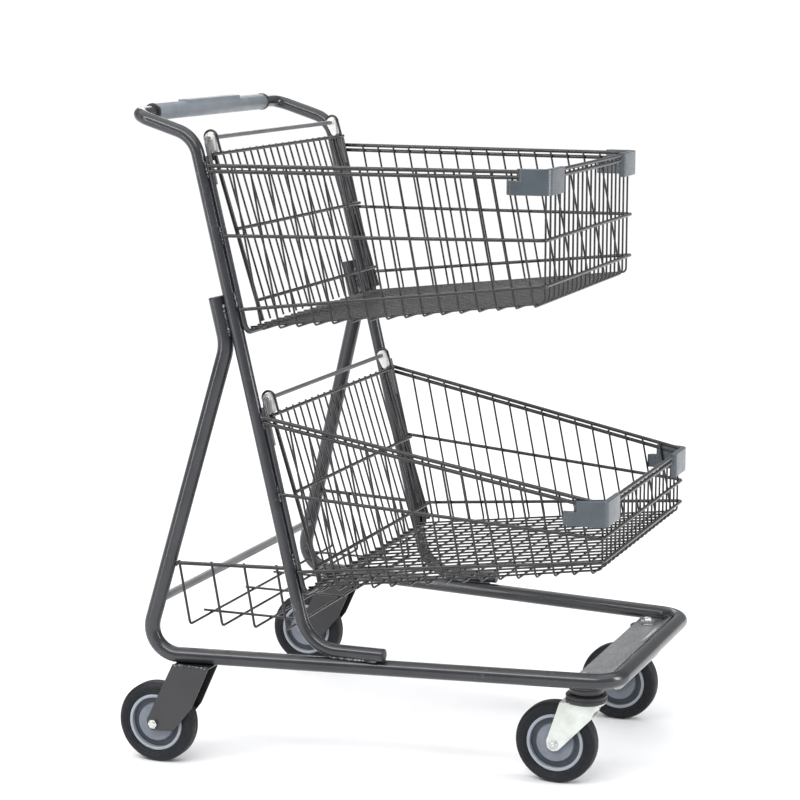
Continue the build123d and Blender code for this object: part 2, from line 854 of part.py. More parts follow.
def caster_plate():
    """Folded steel plate between the side tubes that carries both casters."""
    top = fork_top_z + weld_gap + plate_thickness
    low = top - plate_thickness
    plate_front_x = base_front_x - plate_front_gap
    plate_fold_x = plate_front_x - plate_flange
    plate_rear_x = plate_fold_x - plate_depth
    section = [(plate_rear_x, top), (plate_fold_x, top)]
    section += [(plate_front_x, top + plate_flange_rise)]
    section += [(plate_front_x, low + plate_flange_rise), (plate_fold_x, low)]
    section += [(plate_rear_x, low)]
    face = make_face(Polyline(*[(x, 0, z) for x, z in section], close=True))
    plate = extrude(face, base_half(plate_rear_x), dir=(0, 1, 0), both=True)
    loop = right_and_left([rear_corner, front_corner])
    plate = plate - swept(loop, [base_corner_r] * 2, tube_d + 2 * weld_gap)
    plate = plate.solids().sort_by(SortBy.VOLUME)[-1]
    hole = Pos(swivel_x, -swivel_half, top) * Cylinder(kingpin_d / 2 + weld_gap, crown_d)
    slot_x = (plate_fold_x + plate_front_x) / 2
    slot = Pos(slot_x, base_front_half / 2, top) * Box(slot_width, slot_length, crown_d)
    return [plate - hole - flipped(hole) - slot]


def swivel_race():
    """Upper race of a caster: a seat under the plate and the dust ring below it."""
    ring_low = crown_z + stop_gap
    seat_low = ring_low + race_height
    ring = Pos(0, 0, ring_low + race_height / 2) * Cylinder(race_d / 2, race_height)
    ring = fillet(ring.edges().filter_by(GeomType.CIRCLE), race_edge_r)
    seat = Pos(0, 0, seat_low + seat_height / 2) * Cylinder(seat_d / 2, seat_height)
    bore = Pos(0, 0, seat_low) * Cylinder(kingpin_d / 2 + weld_gap, crown_d)
    return ring + seat - bore


def kingpin():
    """Bolt that holds the caster, with its head under the crown."""
    low = crown_z - front_fork_wall - stop_gap
    nut_z = fork_top_z + plate_thickness + 3 * weld_gap
    length = nut_z + kingpin_nut_height + kingpin_end - low
    shaft = Pos(0, 0, low + length / 2) * Cylinder(kingpin_d / 2, length)
    head_z = low - kingpin_head_height / 2
    head = Pos(0, 0, head_z) * Cylinder(kingpin_head_d / 2, kingpin_head_height)
    return shaft + head


def kingpin_nut():
    """Hex nut on top of the caster plate."""
    nut_z = fork_top_z + plate_thickness + 3 * weld_gap
    nut = Pos(0, 0, nut_z) * hexagon(kingpin_hex, kingpin_nut_height)
    return nut - Pos(0, 0, nut_z) * Cylinder(kingpin_d / 2 + weld_gap, crown_d)


# Write every node ------------------------------------------------------------


def save_basket(name, basket, hinge_z, mid_drop, low_drop):
    """Write the nodes of one basket and its gate."""
    length = gate_length(basket, hinge_z)
    save(f"{name}_basket_rails", basket_rails(basket))
    save(f"{name}_basket_cross_wires", cross_wires(basket))
    save(f"{name}_basket_long_wires", long_wires(basket))
    save(f"{name}_basket_rear_hoop", rear_hoop(basket))
    save(f"{name}_hinge_rod", hinge_rod(hinge_z))
    right = bumper(basket)
    save(f"{name}_right_bumper", [right])
    save(f"{name}_left_bumper", [flipped(right)])
    save(f"{name}_gate_rails", gate_rails(hinge_z, mid_drop, low_drop))
    save(f"{name}_gate_wires", gate_wires(hinge_z, length))
    save(f"{name}_gate_side_rods", gate_side_rods(hinge_z, length))
    save(f"{name}_gate_loops", gate_loops(hinge_z))
    save(f"{name}_hinge_clips", hinge_clips(hinge_z))


def save_wheel(name, centre, fork, wall, round_head):
    """Write the nodes of one wheel and its fork."""
    def put(shape):
        return Pos(*centre) * shape

    save(f"{name}_tyre", [put(tyre())])
    save(f"{name}_hub", [put(hub())])
    save(f"{name}_bearings", [put(ring) for ring in bearings()])
    bolt, nut = axle_bolt(wall, round_head), axle_nut(wall)
    if centre[1] > 0:
        bolt, nut = flipped(bolt), flipped(nut)
    save(f"{name}_axle", [put(bolt), put(nut)])
    save(f"{name}_fork", [put(fork)])


def save_front_caster(name, side):
    """Write the nodes of one swivel caster; side is -1 for right and 1 for left."""
    seat = Pos(swivel_x, side * swivel_half, 0)
    centre = (swivel_x - trail, side * swivel_half, axle_z)
    save_wheel(name, centre, front_fork(), front_fork_wall, True)
    save(f"{name}_swivel_race", [seat * swivel_race()])
    save(f"{name}_kingpin", [seat * kingpin(), seat * kingpin_nut()])


def build():
    """Build the whole cart."""
    os.makedirs("parts", exist_ok=True)
    save("base_tube", base_tube())
    save("handle_tube", handle_tube())
    save("tube_caps", tube_caps())
    save("rear_cross_tube", rear_cross_tube())
    save("grip_sleeve", grip_sleeve())
    save("grip_rings", grip_rings())
    save("tray_rails", tray_rails())
    save("tray_cross_wires", tray_cross_wires())
    save("tray_long_wires", tray_long_wires())
    save("caster_plate", caster_plate())
    save_basket("upper", upper, upper_hinge_z, upper_gate_mid_drop, upper_gate_low_drop)
    save_basket("lower", lower, lower_hinge_z, lower_gate_mid_drop, lower_gate_low_drop)
    for name, side in (("rear_right", -1), ("rear_left", 1)):
        centre = (rear_axle_x, side * rear_wheel_half, axle_z)
        save_wheel(name, centre, rear_fork(), rear_fork_wall, False)
    save_front_caster("front_right", -1)
    save_front_caster("front_left", 1)


build()
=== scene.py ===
from math import acos, asin, atan, atan2, cos, hypot, pi, radians, sin, tan

import bmesh
import bpy
from mathutils import Matrix, Vector


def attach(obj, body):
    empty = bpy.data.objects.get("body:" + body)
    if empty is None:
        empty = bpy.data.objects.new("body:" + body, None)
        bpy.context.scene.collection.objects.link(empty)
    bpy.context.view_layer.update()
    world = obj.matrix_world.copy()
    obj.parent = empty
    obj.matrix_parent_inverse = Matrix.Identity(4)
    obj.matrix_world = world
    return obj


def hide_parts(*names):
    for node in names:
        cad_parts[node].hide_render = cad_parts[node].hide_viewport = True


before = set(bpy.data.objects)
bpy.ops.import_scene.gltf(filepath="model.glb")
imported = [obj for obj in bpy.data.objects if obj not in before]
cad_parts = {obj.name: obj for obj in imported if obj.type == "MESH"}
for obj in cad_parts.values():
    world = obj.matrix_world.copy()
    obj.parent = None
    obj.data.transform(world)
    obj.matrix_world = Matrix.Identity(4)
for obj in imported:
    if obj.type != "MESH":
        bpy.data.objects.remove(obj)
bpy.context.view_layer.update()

# Shopping cart with two wire baskets. Sizes are in millimetres until a mesh is written.
# X is forward, Y is to the cart's left and Z is up.

MM = 0.001

# Gaps and frame tubes
weld_gap = 0.05
stop_gap = 0.3
tube_d = 24.0
upright_d = 20.0
base_front_x = 376.5
base_rear_x = -342.1
base_front_half = 204.6
base_rear_half = 301.9
base_corner_r = 45.0
leg_bend_r = 43.0
knee_r = 70.0
knee_z = 645.8
leg_top_z = 716.0
handle_half = 260.6
upright_lean = 13.1
upright_foot_x = -87.6
stub_end_x = 34.0
foot_bend_r = 60.0
arm_bend_r = 48.0
arm_start_z = 955.4
handle_x = -363.0
handle_z = 986.8
handle_corner_r = 26.0
cap_flange = 2.6
cross_tube_d = 12.7
cross_tube_z = 253.5

# Grip
grip_d = 25.5
grip_half = 198.0
grip_ring_d = 27.5
grip_ring_length = 5.0
label_length = 190.0
label_width = 18.0
label_rise = 2.4

# Basket wire
wire_d = 3.2
rim_d = 6.0
rail_d = 5.4
rim_pitch = 8.2
post_d = 8.0
post_rise = 14.0
post_bend_r = 14.0
wire_bend_r = 7.0
rail_bend_r = 10.0
side_wire_pitch = 27.5
side_wire_start = 25.0
side_wire_lean = 11.0
front_wire_count = 20
front_wire_margin = 10.0
floor_overlap = 2.7

# Gates
hinge_z = {"upper": 952.5, "lower": 565.0}
rail_drops = {"upper": (141.0, 251.0), "lower": (146.0, 262.0)}
hinge_d = 6.8
hinge_bend_r = 10.0
hinge_leg_drop = 68.0
gate_lean = 17.0
gate_side_gap = 18.6
gate_side_d = 6.5
gate_loop_d = 3.8
gate_bottom_gap = 8.0
gate_top_drop = 25.6
gate_wire_overlap = 4.0
gate_mid_overhang = 8.0
gate_wire_count = 18
clip_r = 8.0
clip_width = 13.0
clip_tip_drop = 18.0
clip_tip_r = 4.5
loop_top_rise = 1.0

# Bumpers
bumper_cover = 3.6
bumper_height = 38.0
bumper_side = 59.0
bumper_side_top = 44.0
bumper_front = 70.0
bumper_r = 15.0
bumper_rise = 4.6

# Tray
tray_rail_d = 6.0
tray_wire_d = 4.0
tray_rail_z = 312.5
tray_floor_z = 217.0
tray_leg_gap = 14.2
tray_upright_gap = 23.6
tray_lean = 10.3
tray_bend_r = 6.0
tray_wire_count = 4
tray_long_half = (210.0, 55.0)
tray_overhang = 11.0

# Wheels, forks and casters
wheel_d = 125.0
wheel_width = 28.0
fork_side_gap = 2.6
fork_gap = wheel_width / 2 + fork_side_gap
axle_z = wheel_d / 2
axle_hex = 13.0
axle_head = 5.3
rear_axle_x = -323.5
rear_wheel_half = 292.5
rear_fork_wall = 3.0
rear_fork_outline = [(33, 95.95), (-12, 4), (-7, -11), (32, -9), (47, 8), (64, 30), (94, 95.95)]
front_fork_wall = 2.5
trail = 45.0
caster_setback = 53.2
caster_inset = 40.1
crown_gap = 3.5
crown_z = wheel_d + crown_gap
crown_d = 58.0
race_d = 62.0
race_height = 13.0
seat_d = 56.0
seat_height = 16.65
kingpin_hex = 19.0
kingpin_nut_height = 9.0
kingpin_dome = 4.6
pin_r = 6.0
race_bore_r = 6.1
crown_back = 36
crown_front = 24
crown_half = 18
plate_thickness = 3.5
plate_front_gap = 14.5
plate_flange = 21.0
plate_depth = 38.0
plate_flange_rise = 14.0
slot_length = 90.0
slot_width = 9.0
slot_edge = 4.0

# Welds: bead sizes, and where the longer ones start and end
tube_bead_r = 2.3
post_bead_r = 1.7
fork_bead_r = 2.9
foot_weld_x = (-48, 24)
leg_weld_z = (662, 706)
post_weld_half = 11

# Sides round a tube or wire, and steps in each of its bends
tube_mesh = (40, 14)
post_mesh = (20, 8)
rail_mesh = (16, 8)
wire_mesh = (12, 5)

# Places worked out from the sizes above
tube_r = tube_d / 2
upright_r = upright_d / 2
lean_tan = tan(radians(upright_lean))
lean_cos = cos(radians(upright_lean))
fork_top_z = crown_z + stop_gap + race_height + seat_height
base_z = fork_top_z + weld_gap + tube_r
stub_z = base_z + tube_r + upright_r + weld_gap


def upright_x(z):
    return upright_foot_x - (z - stub_z) * lean_tan


def leg_x(z):
    return upright_x(z) - (tube_r + upright_r + weld_gap) / lean_cos


def post_x(z):
    return upright_x(z) + (upright_r + post_d / 2 + weld_gap) / lean_cos


def base_half(x):
    share = (x - base_rear_x) / (base_front_x - base_rear_x)
    return base_rear_half + (base_front_half - base_rear_half) * share


swivel_x = base_front_x - caster_setback
swivel_half = base_half(swivel_x) - caster_inset

# --- Camera, light and floor ---


camera_lens = 107.587
camera_place = (1.29012, -3.46834, 1.16086)
camera_down = 9.5998
camera_turn = 20.9665
floor_reach = 4000


def camera():
    """The viewpoint: a long lens a little above the baskets, from the cart's right."""
    data = bpy.data.cameras.new("camera")
    data.sensor_width = 36
    data.lens = camera_lens
    data.clip_end = 9000
    item = add_object("camera", data)
    item.location = camera_place
    item.rotation_euler = (radians(90 - camera_down), 0, radians(camera_turn))
    bpy.context.scene.camera = item


def lamp(name, kind, power, place, target):
    """A lamp at one point, aimed at another."""
    data = bpy.data.lights.new(name, kind)
    data.energy = power
    item = add_object(name, data)
    item.location = place
    item.rotation_euler = (Vector(target) - Vector(place)).to_track_quat("-Z", "Y").to_euler()
    return data


def studio():
    """White room light, a wide soft sun, four softboxes and a pale floor."""
    world = bpy.data.worlds.new("room")
    world.use_nodes = True
    sky = world.node_tree.nodes["Background"]
    sky.inputs["Color"].default_value = (0.97, 0.98, 1.0, 1)
    sky.inputs["Strength"].default_value = 0.42
    bpy.context.scene.world = world
    bpy.context.scene.view_settings.view_transform = "Standard"
    lamp("skylight", "SUN", 2.5, (0, 0, 0), (0.06, 0.16, -1)).angle = radians(95)
    for name, power, place, target, size in (
            ("key", 46, (-0.2, -2.3, 2.5), (0, 0, 0.4), (3.4, 0.35)),
            ("tall", 26, (-2.1, -2.6, 1.3), (0, -0.2, 0.6), (0.3, 2.4)),
            ("side", 62, (3.4, 0.2, 1.5), (0, 0, 0.5), (0.8, 2.0)),
            ("back", 14, (-1.6, 3.0, 2.2), (0, 0, 0.5), (1.6, 1.0))):
        softbox = lamp(name, "AREA", power, place, target)
        softbox.shape = "RECTANGLE"
        softbox.size, softbox.size_y = size
    mesh = bpy.data.meshes.new("floor")
    far = floor_reach
    mesh.from_pydata([(-far, -far, 0), (far, -far, 0), (far, far, 0), (-far, far, 0)], [],
                     [(0, 1, 2, 3)])
    floor = add_object("floor", mesh)
    paint = Finish("pale floor")
    cloud = paint.noise(1.3)
    paint.colour(paint.mix(cloud, (0.86, 0.86, 0.87), (0.89, 0.89, 0.90)))
    paint.roughness(paint.spread(cloud, 0.4, 0.6, 0.75, 0.85))
    mesh.materials.append(paint.material)


# --- Finishes ---


class Finish:
    """A material that is built up from noise, relief and wear."""

    def __init__(self, name, metallic=0.0, coat=0.0, specular=0.5):
        self.material = bpy.data.materials.new(name)
        self.material.use_nodes = True
        self.nodes = self.material.node_tree.nodes
        self.links = self.material.node_tree.links
        self.shader = self.nodes["Principled BSDF"]
        self.shader.inputs["Metallic"].default_value = metallic
        self.shader.inputs["Coat Weight"].default_value = coat
        self.shader.inputs["Coat Roughness"].default_value = 0.25
        self.shader.inputs["Specular IOR Level"].default_value = specular
        self.place = self.nodes.new("ShaderNodeTexCoord").outputs["Object"]
        self.normal = None

    def join(self, source, socket):
        """Set a socket from another socket, a number or a colour."""
        if isinstance(source, tuple):
            socket.default_value = (*source, 1)
        elif isinstance(source, (int, float)):
            socket.default_value = source
        else:
            self.links.new(source, socket)

    def noise(self, scale, detail=3.0, distortion=0.0, stretch=None):
        """Cloudy variation of a given fineness, stretched along an axis if asked."""
        node = self.nodes.new("ShaderNodeTexNoise")
        node.inputs["Scale"].default_value = scale
        node.inputs["Detail"].default_value = detail
        node.inputs["Distortion"].default_value = distortion
        place = self.place
        if stretch:
            turn = self.nodes.new("ShaderNodeMapping")
            turn.inputs["Scale"].default_value = stretch
            self.links.new(self.place, turn.inputs["Vector"])
            place = turn.outputs["Vector"]
        self.links.new(place, node.inputs["Vector"])
        return node.outputs["Fac"]

    def cells(self, scale, output="Distance"):
        """Cell pattern of a given fineness."""
        node = self.nodes.new("ShaderNodeTexVoronoi")
        node.inputs["Scale"].default_value = scale
        self.links.new(self.place, node.inputs["Vector"])
        return node.outputs[output]

    def spread(self, value, low, high, to_low, to_high):
        """Move a value from one range into another, and stop at its ends."""
        node = self.nodes.new("ShaderNodeMapRange")
        self.links.new(value, node.inputs["Value"])
        limits = zip(("From Min", "From Max", "To Min", "To Max"), (low, high, to_low, to_high))
        for socket, limit in limits:
            node.inputs[socket].default_value = limit
        return node.outputs["Result"]

    def product(self, first, second):
        """Two values multiplied."""
        node = self.nodes.new("ShaderNodeMath")
        node.operation = "MULTIPLY"
        self.join(first, node.inputs[0])
        self.join(second, node.inputs[1])
        return node.outputs[0]

    def mix(self, share, first, second):
        """Blend from the first colour to the second."""
        node = self.nodes.new("ShaderNodeMix")
        node.data_type = "RGBA"
        self.join(share, node.inputs[0])
        self.join(first, node.inputs[6])
        self.join(second, node.inputs[7])
        return node.outputs[2]

    def relief(self, height, depth):
        """Lay one more bump, with its depth in millimetres, over the ones before."""
        node = self.nodes.new("ShaderNodeBump")
        node.inputs["Distance"].default_value = depth * MM
        self.links.new(height, node.inputs["Height"])
        if self.normal:
            self.links.new(self.normal, node.inputs["Normal"])
        self.normal = node.outputs["Normal"]
        self.links.new(self.normal, self.shader.inputs["Normal"])

    def colour(self, source):
        self.join(source, self.shader.inputs["Base Color"])

    def roughness(self, source):
        self.join(source, self.shader.inputs["Roughness"])


def powder_coat(name, dark, light, low_gloss, high_gloss, scuff):
    """Charcoal powder coat with orange peel, dust and a few pale scuffs."""
    coat = Finish(name, coat=0.15, specular=0.5)
    base = coat.mix(coat.spread(coat.noise(14), 0.35, 0.65, 0, 1), dark, light)
    dust = coat.spread(coat.noise(1500, 2), 0.64, 0.78, 0, 0.2)
    base = coat.mix(dust, base, (0.16, 0.165, 0.17))
    patch = coat.spread(coat.noise(13, 2), 0.62, 0.74, 0, 1)
    marks = coat.spread(coat.noise(240, 6, 0.6), 0.58, 0.66, 0, scuff)
    worn = coat.product(patch, marks)
    coat.colour(coat.mix(worn, base, (0.26, 0.27, 0.28)))
    coat.roughness(coat.spread(coat.noise(55), 0.3, 0.7, low_gloss, high_gloss))
    coat.relief(coat.noise(420, 2), 0.02)
    coat.relief(coat.noise(1900, 2), 0.02)
    return coat.material


def zinc(name, dark, light, patina, share, rough, metal):
    """Galvanised steel with crystal patches, stains and fine scratches."""
    steel = Finish(name, metallic=metal)
    crystal = steel.mix(steel.cells(95, "Color"), dark, light)
    cloud = steel.spread(steel.noise(38, 4), 0.42, 0.66, 0, share)
    steel.colour(steel.mix(cloud, crystal, patina))
    scratch = steel.noise(900, 4, 0.2, (1, 0.06, 1))
    steel.roughness(steel.spread(scratch, 0.3, 0.7, rough - 0.09, rough + 0.12))
    steel.relief(scratch, 0.02)
    steel.relief(steel.noise(130, 3), 0.06)
    return steel.material


def moulded(name, dark, light, rough, grain, grime, share, coat=0.0, specular=0.5):
    """Moulded plastic or rubber with a fine texture and a little grime."""
    plastic = Finish(name, coat=coat, specular=specular)
    base = plastic.mix(plastic.spread(plastic.noise(22), 0.35, 0.65, 0, 1), dark, light)
    dirt = plastic.spread(plastic.noise(120, 5, 0.4), 0.52, 0.7, 0, share)
    plastic.colour(plastic.mix(dirt, base, grime))
    plastic.roughness(plastic.spread(plastic.noise(80), 0.3, 0.7, rough - 0.06, rough + 0.08))
    plastic.relief(plastic.noise(grain, 2), 0.05)
    plastic.relief(plastic.cells(grain * 0.4), 0.03)
    return plastic.material


def weld_metal():
    """Painted weld beads whose tops have lost some paint."""
    bead = Finish("weld bead", metallic=0.35)
    bare = bead.spread(bead.noise(330, 3), 0.52, 0.66, 0, 1)
    bead.colour(bead.mix(bare, (0.035, 0.035, 0.04), (0.34, 0.35, 0.36)))
    bead.roughness(bead.spread(bead.noise(90), 0.3, 0.7, 0.3, 0.5))
    bead.relief(bead.noise(500, 2), 0.1)
    return bead.material


# --- Tools that make meshes ---


def add_object(name, mesh):
    """Put a mesh, lamp or camera in the scene, at the origin."""
    item = bpy.data.objects.new(name, mesh)
    bpy.context.scene.collection.objects.link(item)
    return item


def carried(item, body, nodes):
    """Say what a piece rides on and the nodes that it stands for."""
    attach(item, body)
    if nodes:
        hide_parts(*nodes)


def tree_with_inputs(name, inputs):
    """An empty Geometry Nodes tree with named inputs, and their identifiers."""
    tree = bpy.data.node_groups.new(name, "GeometryNodeTree")
    tree.interface.new_socket("Geometry", in_out="INPUT", socket_type="NodeSocketGeometry")
    names = {}
    for label, kind in inputs:
        socket = tree.interface.new_socket(label, in_out="INPUT", socket_type=kind)
        names[label] = socket.identifier
    tree.interface.new_socket("Geometry", in_out="OUTPUT", socket_type="NodeSocketGeometry")
    return tree, names


def chain(tree, nodes):
    """Join the geometry of each node to the next, from the tree's input to its output."""
    ends = [tree.nodes.new("NodeGroupInput"), *nodes, tree.nodes.new("NodeGroupOutput")]
    for before, after in zip(ends, ends[1:]):
        target = after.inputs[0]
        for wanted in ("Curve", "Mesh", "Points", "Geometry"):
            if wanted in after.inputs:
                target = after.inputs[wanted]
                break
        tree.links.new(before.outputs[0], target)
    return ends[0]


def swept_tree():
    """Tree that turns a path of straight runs into a bent wire or tube."""
    tree, names = tree_with_inputs("swept wire", [
        ("Radius", "NodeSocketFloat"), ("Sides", "NodeSocketInt"),
        ("Bend Steps", "NodeSocketInt"), ("Finish", "NodeSocketMaterial")])
    to_curve = tree.nodes.new("GeometryNodeMeshToCurve")
    bend = tree.nodes.new("GeometryNodeFilletCurve")
    sweep = tree.nodes.new("GeometryNodeCurveToMesh")
    smooth = tree.nodes.new("GeometryNodeSetShadeSmooth")
    whole = tree.nodes.new("GeometryNodeRealizeInstances")
    paint = tree.nodes.new("GeometryNodeSetMaterial")
    source = chain(tree, [to_curve, bend, sweep, smooth, whole, paint])
    bend.mode = "POLY"
    radius = tree.nodes.new("GeometryNodeInputNamedAttribute")
    radius.data_type = "FLOAT"
    radius.inputs["Name"].default_value = "bend"
    tree.links.new(radius.outputs["Attribute"], bend.inputs["Radius"])
    tree.links.new(source.outputs["Bend Steps"], bend.inputs["Count"])
    ring = tree.nodes.new("GeometryNodeCurvePrimitiveCircle")
    tree.links.new(source.outputs["Radius"], ring.inputs["Radius"])
    tree.links.new(source.outputs["Sides"], ring.inputs["Resolution"])
    tree.links.new(ring.outputs["Curve"], sweep.inputs["Profile Curve"])
    sweep.inputs["Fill Caps"].default_value = True
    tree.links.new(source.outputs["Finish"], paint.inputs["Material"])
    return tree, names


def bead_tree():
    """Tree that lays lumpy weld beads along a path."""
    tree, names = tree_with_inputs("weld bead", [
        ("Pitch", "NodeSocketFloat"), ("Bead Radius", "NodeSocketFloat"),
        ("Seed", "NodeSocketInt"), ("Finish", "NodeSocketMaterial")])
    to_curve = tree.nodes.new("GeometryNodeMeshToCurve")
    spaced = tree.nodes.new("GeometryNodeResampleCurve")
    place = tree.nodes.new("GeometryNodeInstanceOnPoints")
    whole = tree.nodes.new("GeometryNodeRealizeInstances")
    smooth = tree.nodes.new("GeometryNodeSetShadeSmooth")
    paint = tree.nodes.new("GeometryNodeSetMaterial")
    source = chain(tree, [to_curve, spaced, place, whole, paint])
    spaced.mode = "LENGTH"
    tree.links.new(source.outputs["Pitch"], spaced.inputs["Length"])
    lump = tree.nodes.new("GeometryNodeMeshUVSphere")
    lump.inputs["Segments"].default_value = 8
    lump.inputs["Rings"].default_value = 6
    tree.links.new(source.outputs["Bead Radius"], lump.inputs["Radius"])
    tree.links.new(lump.outputs["Mesh"], smooth.inputs["Geometry"])
    tree.links.new(smooth.outputs["Geometry"], place.inputs["Instance"])
    size = tree.nodes.new("FunctionNodeRandomValue")
    size.data_type = "FLOAT_VECTOR"
    size.inputs[0].default_value = (0.55, 0.55, 0.5)
    size.inputs[1].default_value = (1.35, 1.3, 1.15)
    tree.links.new(source.outputs["Seed"], size.inputs["Seed"])
    tree.links.new(size.outputs[0], place.inputs["Scale"])
    tree.links.new(source.outputs["Finish"], paint.inputs["Material"])
    return tree, names


def path_mesh(name, paths):
    """Loose edges along paths of (point, bend radius) pairs."""
    verts, edges, bends = [], [], []
    for path in paths:
        start = len(verts)
        for point, bend in path:
            verts.append(Vector(point) * MM)
            bends.append(bend * MM)
        edges += [(i, i + 1) for i in range(start, len(verts) - 1)]
    mesh = bpy.data.meshes.new(name)
    mesh.from_pydata(verts, edges, [])
    mesh.attributes.new("bend", "FLOAT", "POINT").data.foreach_set("value", bends)
    return mesh


def grown(name, paths, tree, values):
    """Run a tree on paths, and return the plain mesh that it makes."""
    group, names = tree
    item = add_object(name + "_path", path_mesh(name + "_path", paths))
    modifier = item.modifiers.new("grow", "NODES")
    modifier.node_group = group
    for label, value in values.items():
        modifier[names[label]] = value
    graph = bpy.context.evaluated_depsgraph_get()
    graph.update()
    mesh = bpy.data.meshes.new_from_object(item.evaluated_get(graph), depsgraph=graph)
    item.modifiers.clear()
    bpy.data.objects.remove(item)
    for attribute in [a for a in mesh.attributes if a.name == "bend"]:
        mesh.attributes.remove(attribute)
    mesh.name = name
    return add_object(name, mesh)


def wires(name, body, slot, nodes, paths, diameter, finish, sides, steps):
    """Bent wires or tubes as one piece."""
    values = {"Radius": diameter / 2 * MM, "Sides": sides, "Bend Steps": steps, "Finish": finish}
    item = grown(name, paths, swept, values)
    for face in item.data.polygons:
        face.use_smooth = len(face.vertices) == 4
    carried(item, body, nodes)


def welds(name, body, paths, radius, seed, pitch=1.0):
    """Weld beads along straight paths as one piece."""
    paths = [[(point, 0) for point in path] for path in paths]
    values = {"Pitch": radius * pitch * MM, "Bead Radius": radius * MM, "Seed": seed,
              "Finish": bead_paint}
    carried(grown(name, paths, beads, values), body, [])


def aim(origin, z_dir, x_dir=(1, 0, 0)):
    """Placement whose Z runs along one direction and whose X is near another."""
    z = Vector(z_dir).normalized()
    y = z.cross(Vector(x_dir)).normalized()
    x = y.cross(z)
    turn = Matrix((x, y, z)).transposed().to_4x4()
    turn.translation = Vector(origin)
    return turn


def across(x, y, z):
    """Placement whose Z runs to the cart's right, with X forward and Y up."""
    return aim((x, y, z), (0, -1, 0), (1, 0, 0))


def facing(place, side):
    """The same placement, turned over for the far side."""
    return place @ Matrix.Rotation(0 if side > 0 else pi, 4, "X")


def rounded(outline, radius, steps=5):
    """A flat outline with its corners rounded, each by its own radius if a list is given."""
    points = [Vector(p) for p in outline]
    count = len(points)
    radii = radius if isinstance(radius, (list, tuple)) else [radius] * count
    result = []
    for i, corner in enumerate(points):
        before = (points[i - 1] - corner).normalized()
        after = (points[(i + 1) % count] - corner).normalized()
        half = before.angle(after) / 2
        if radii[i] <= 0 or half > radians(89):
            result.append(corner)
            continue
        cut = radii[i] / tan(half)
        middle = corner + (before + after).normalized() * radii[i] / sin(half)
        start = corner + before * cut - middle
        end = corner + after * cut - middle
        turn = start.angle_signed(end)
        for step in range(steps + 1):
            spin = Matrix.Rotation(-turn * step / steps, 2)
            result.append(middle + spin @ start)
    return result


class Shape:
    """A mesh that is put together from prisms and turned parts."""

    def __init__(self):
        self.verts = []
        self.faces = []

    def add(self, points, faces, place):
        start = len(self.verts)
        self.verts += [(place @ Vector(point)) * MM for point in points]
        self.faces += [tuple(start + i for i in face) for face in faces]

    def prism(self, outline, low, high, place):
        """Push a flat outline from one height to another."""
        n = len(outline)
        points = [(*p, low) for p in outline] + [(*p, high) for p in outline]
        faces = [(i, (i + 1) % n, n + (i + 1) % n, n + i) for i in range(n)]
        faces += [tuple(range(n - 1, -1, -1)), tuple(range(n, 2 * n))]
        self.add(points, faces, place)

    def turned(self, profile, place, steps=64):
        """Turn a closed profile of (radius, height) points round the Z axis."""
        n = len(profile)
        points = []
        for i in range(steps):
            angle = 2 * pi * i / steps
            points += [(r * cos(angle), r * sin(angle), h) for r, h in profile]
        faces = []
        for i in range(steps):
            here, there = i * n, (i + 1) % steps * n
            faces += [(here + j, here + (j + 1) % n, there + (j + 1) % n, there + j)
                      for j in range(n)]
        self.add(points, faces, place)

    def nut(self, across_flats, height, place, dome=0.0):
        """A chamfered hexagon, with a domed end if asked."""
        corner = across_flats / 2 / cos(radians(30))
        ring = [(corner * cos(radians(60 * i)), corner * sin(radians(60 * i))) for i in range(6)]
        self.prism(ring, 0, height, place)
        if dome:
            r = across_flats * 0.42
            arc = [(r * cos(radians(a)), height + dome * sin(radians(a)))
                   for a in range(0, 91, 15)]
            self.turned([*arc, (0, height - 0.5), (r, height - 0.5)], place, 32)

    def piece(self, name, body, nodes, finish, edge=0.0, segments=2, sharp=38):
        """Write the mesh as a piece, with its edges eased by a bevel."""
        mesh = bpy.data.meshes.new(name)
        mesh.from_pydata(self.verts, [], self.faces)
        tidy(mesh)
        mesh.materials.append(finish)
        item = add_object(name, mesh)
        if edge:
            bevel = item.modifiers.new("eased edges", "BEVEL")
            bevel.width = edge * MM
            bevel.segments = segments
            bevel.limit_method = "ANGLE"
            bevel.angle_limit = radians(sharp)
            bevel.harden_normals = True
        mesh.polygons.foreach_set("use_smooth", [True] * len(mesh.polygons))
        if not edge:
            mesh.set_sharp_from_angle(angle=radians(sharp))
        carried(item, body, nodes)


def tidy(mesh):
    """Merge doubled points, drop empty faces and turn the normals outwards."""
    work = bmesh.new()
    work.from_mesh(mesh)
    bmesh.ops.remove_doubles(work, verts=work.verts, dist=0.002 * MM)
    bmesh.ops.dissolve_degenerate(work, edges=work.edges, dist=0.001 * MM)
    bmesh.ops.recalc_face_normals(work, faces=work.faces)
    work.to_mesh(mesh)
    work.free()


def flip(points):
    """The same points on the other side of the cart."""
    return [(x, -y, z) for x, y, z in points]


def whole_path(points, bends):
    """A path from its right half's points and bends, with its mirror image."""
    ends = [0, *bends]
    return list(zip(points, ends)) + list(zip(flip(points)[::-1], ends[::-1]))


def run(start, end):
    """A straight path."""
    return [(start, 0), (end, 0)]


def both(path):
    """A path and its mirror image."""
    return [path, [((x, -y, z), bend) for (x, y, z), bend in path]]


# --- Frame ---

knee = (leg_x(knee_z), -handle_half, knee_z)
rear_corner = (base_rear_x, -base_rear_half, base_z)
front_corner = (base_front_x, -base_front_half, base_z)
leg_top = (leg_x(leg_top_z), -handle_half, leg_top_z)
stub_end = (stub_end_x, -handle_half, stub_z)
upright_foot = (upright_foot_x, -handle_half, stub_z)
upright_top = (upright_x(arm_start_z), -handle_half, arm_start_z)
handle_corner = (handle_x, -handle_half, handle_z)


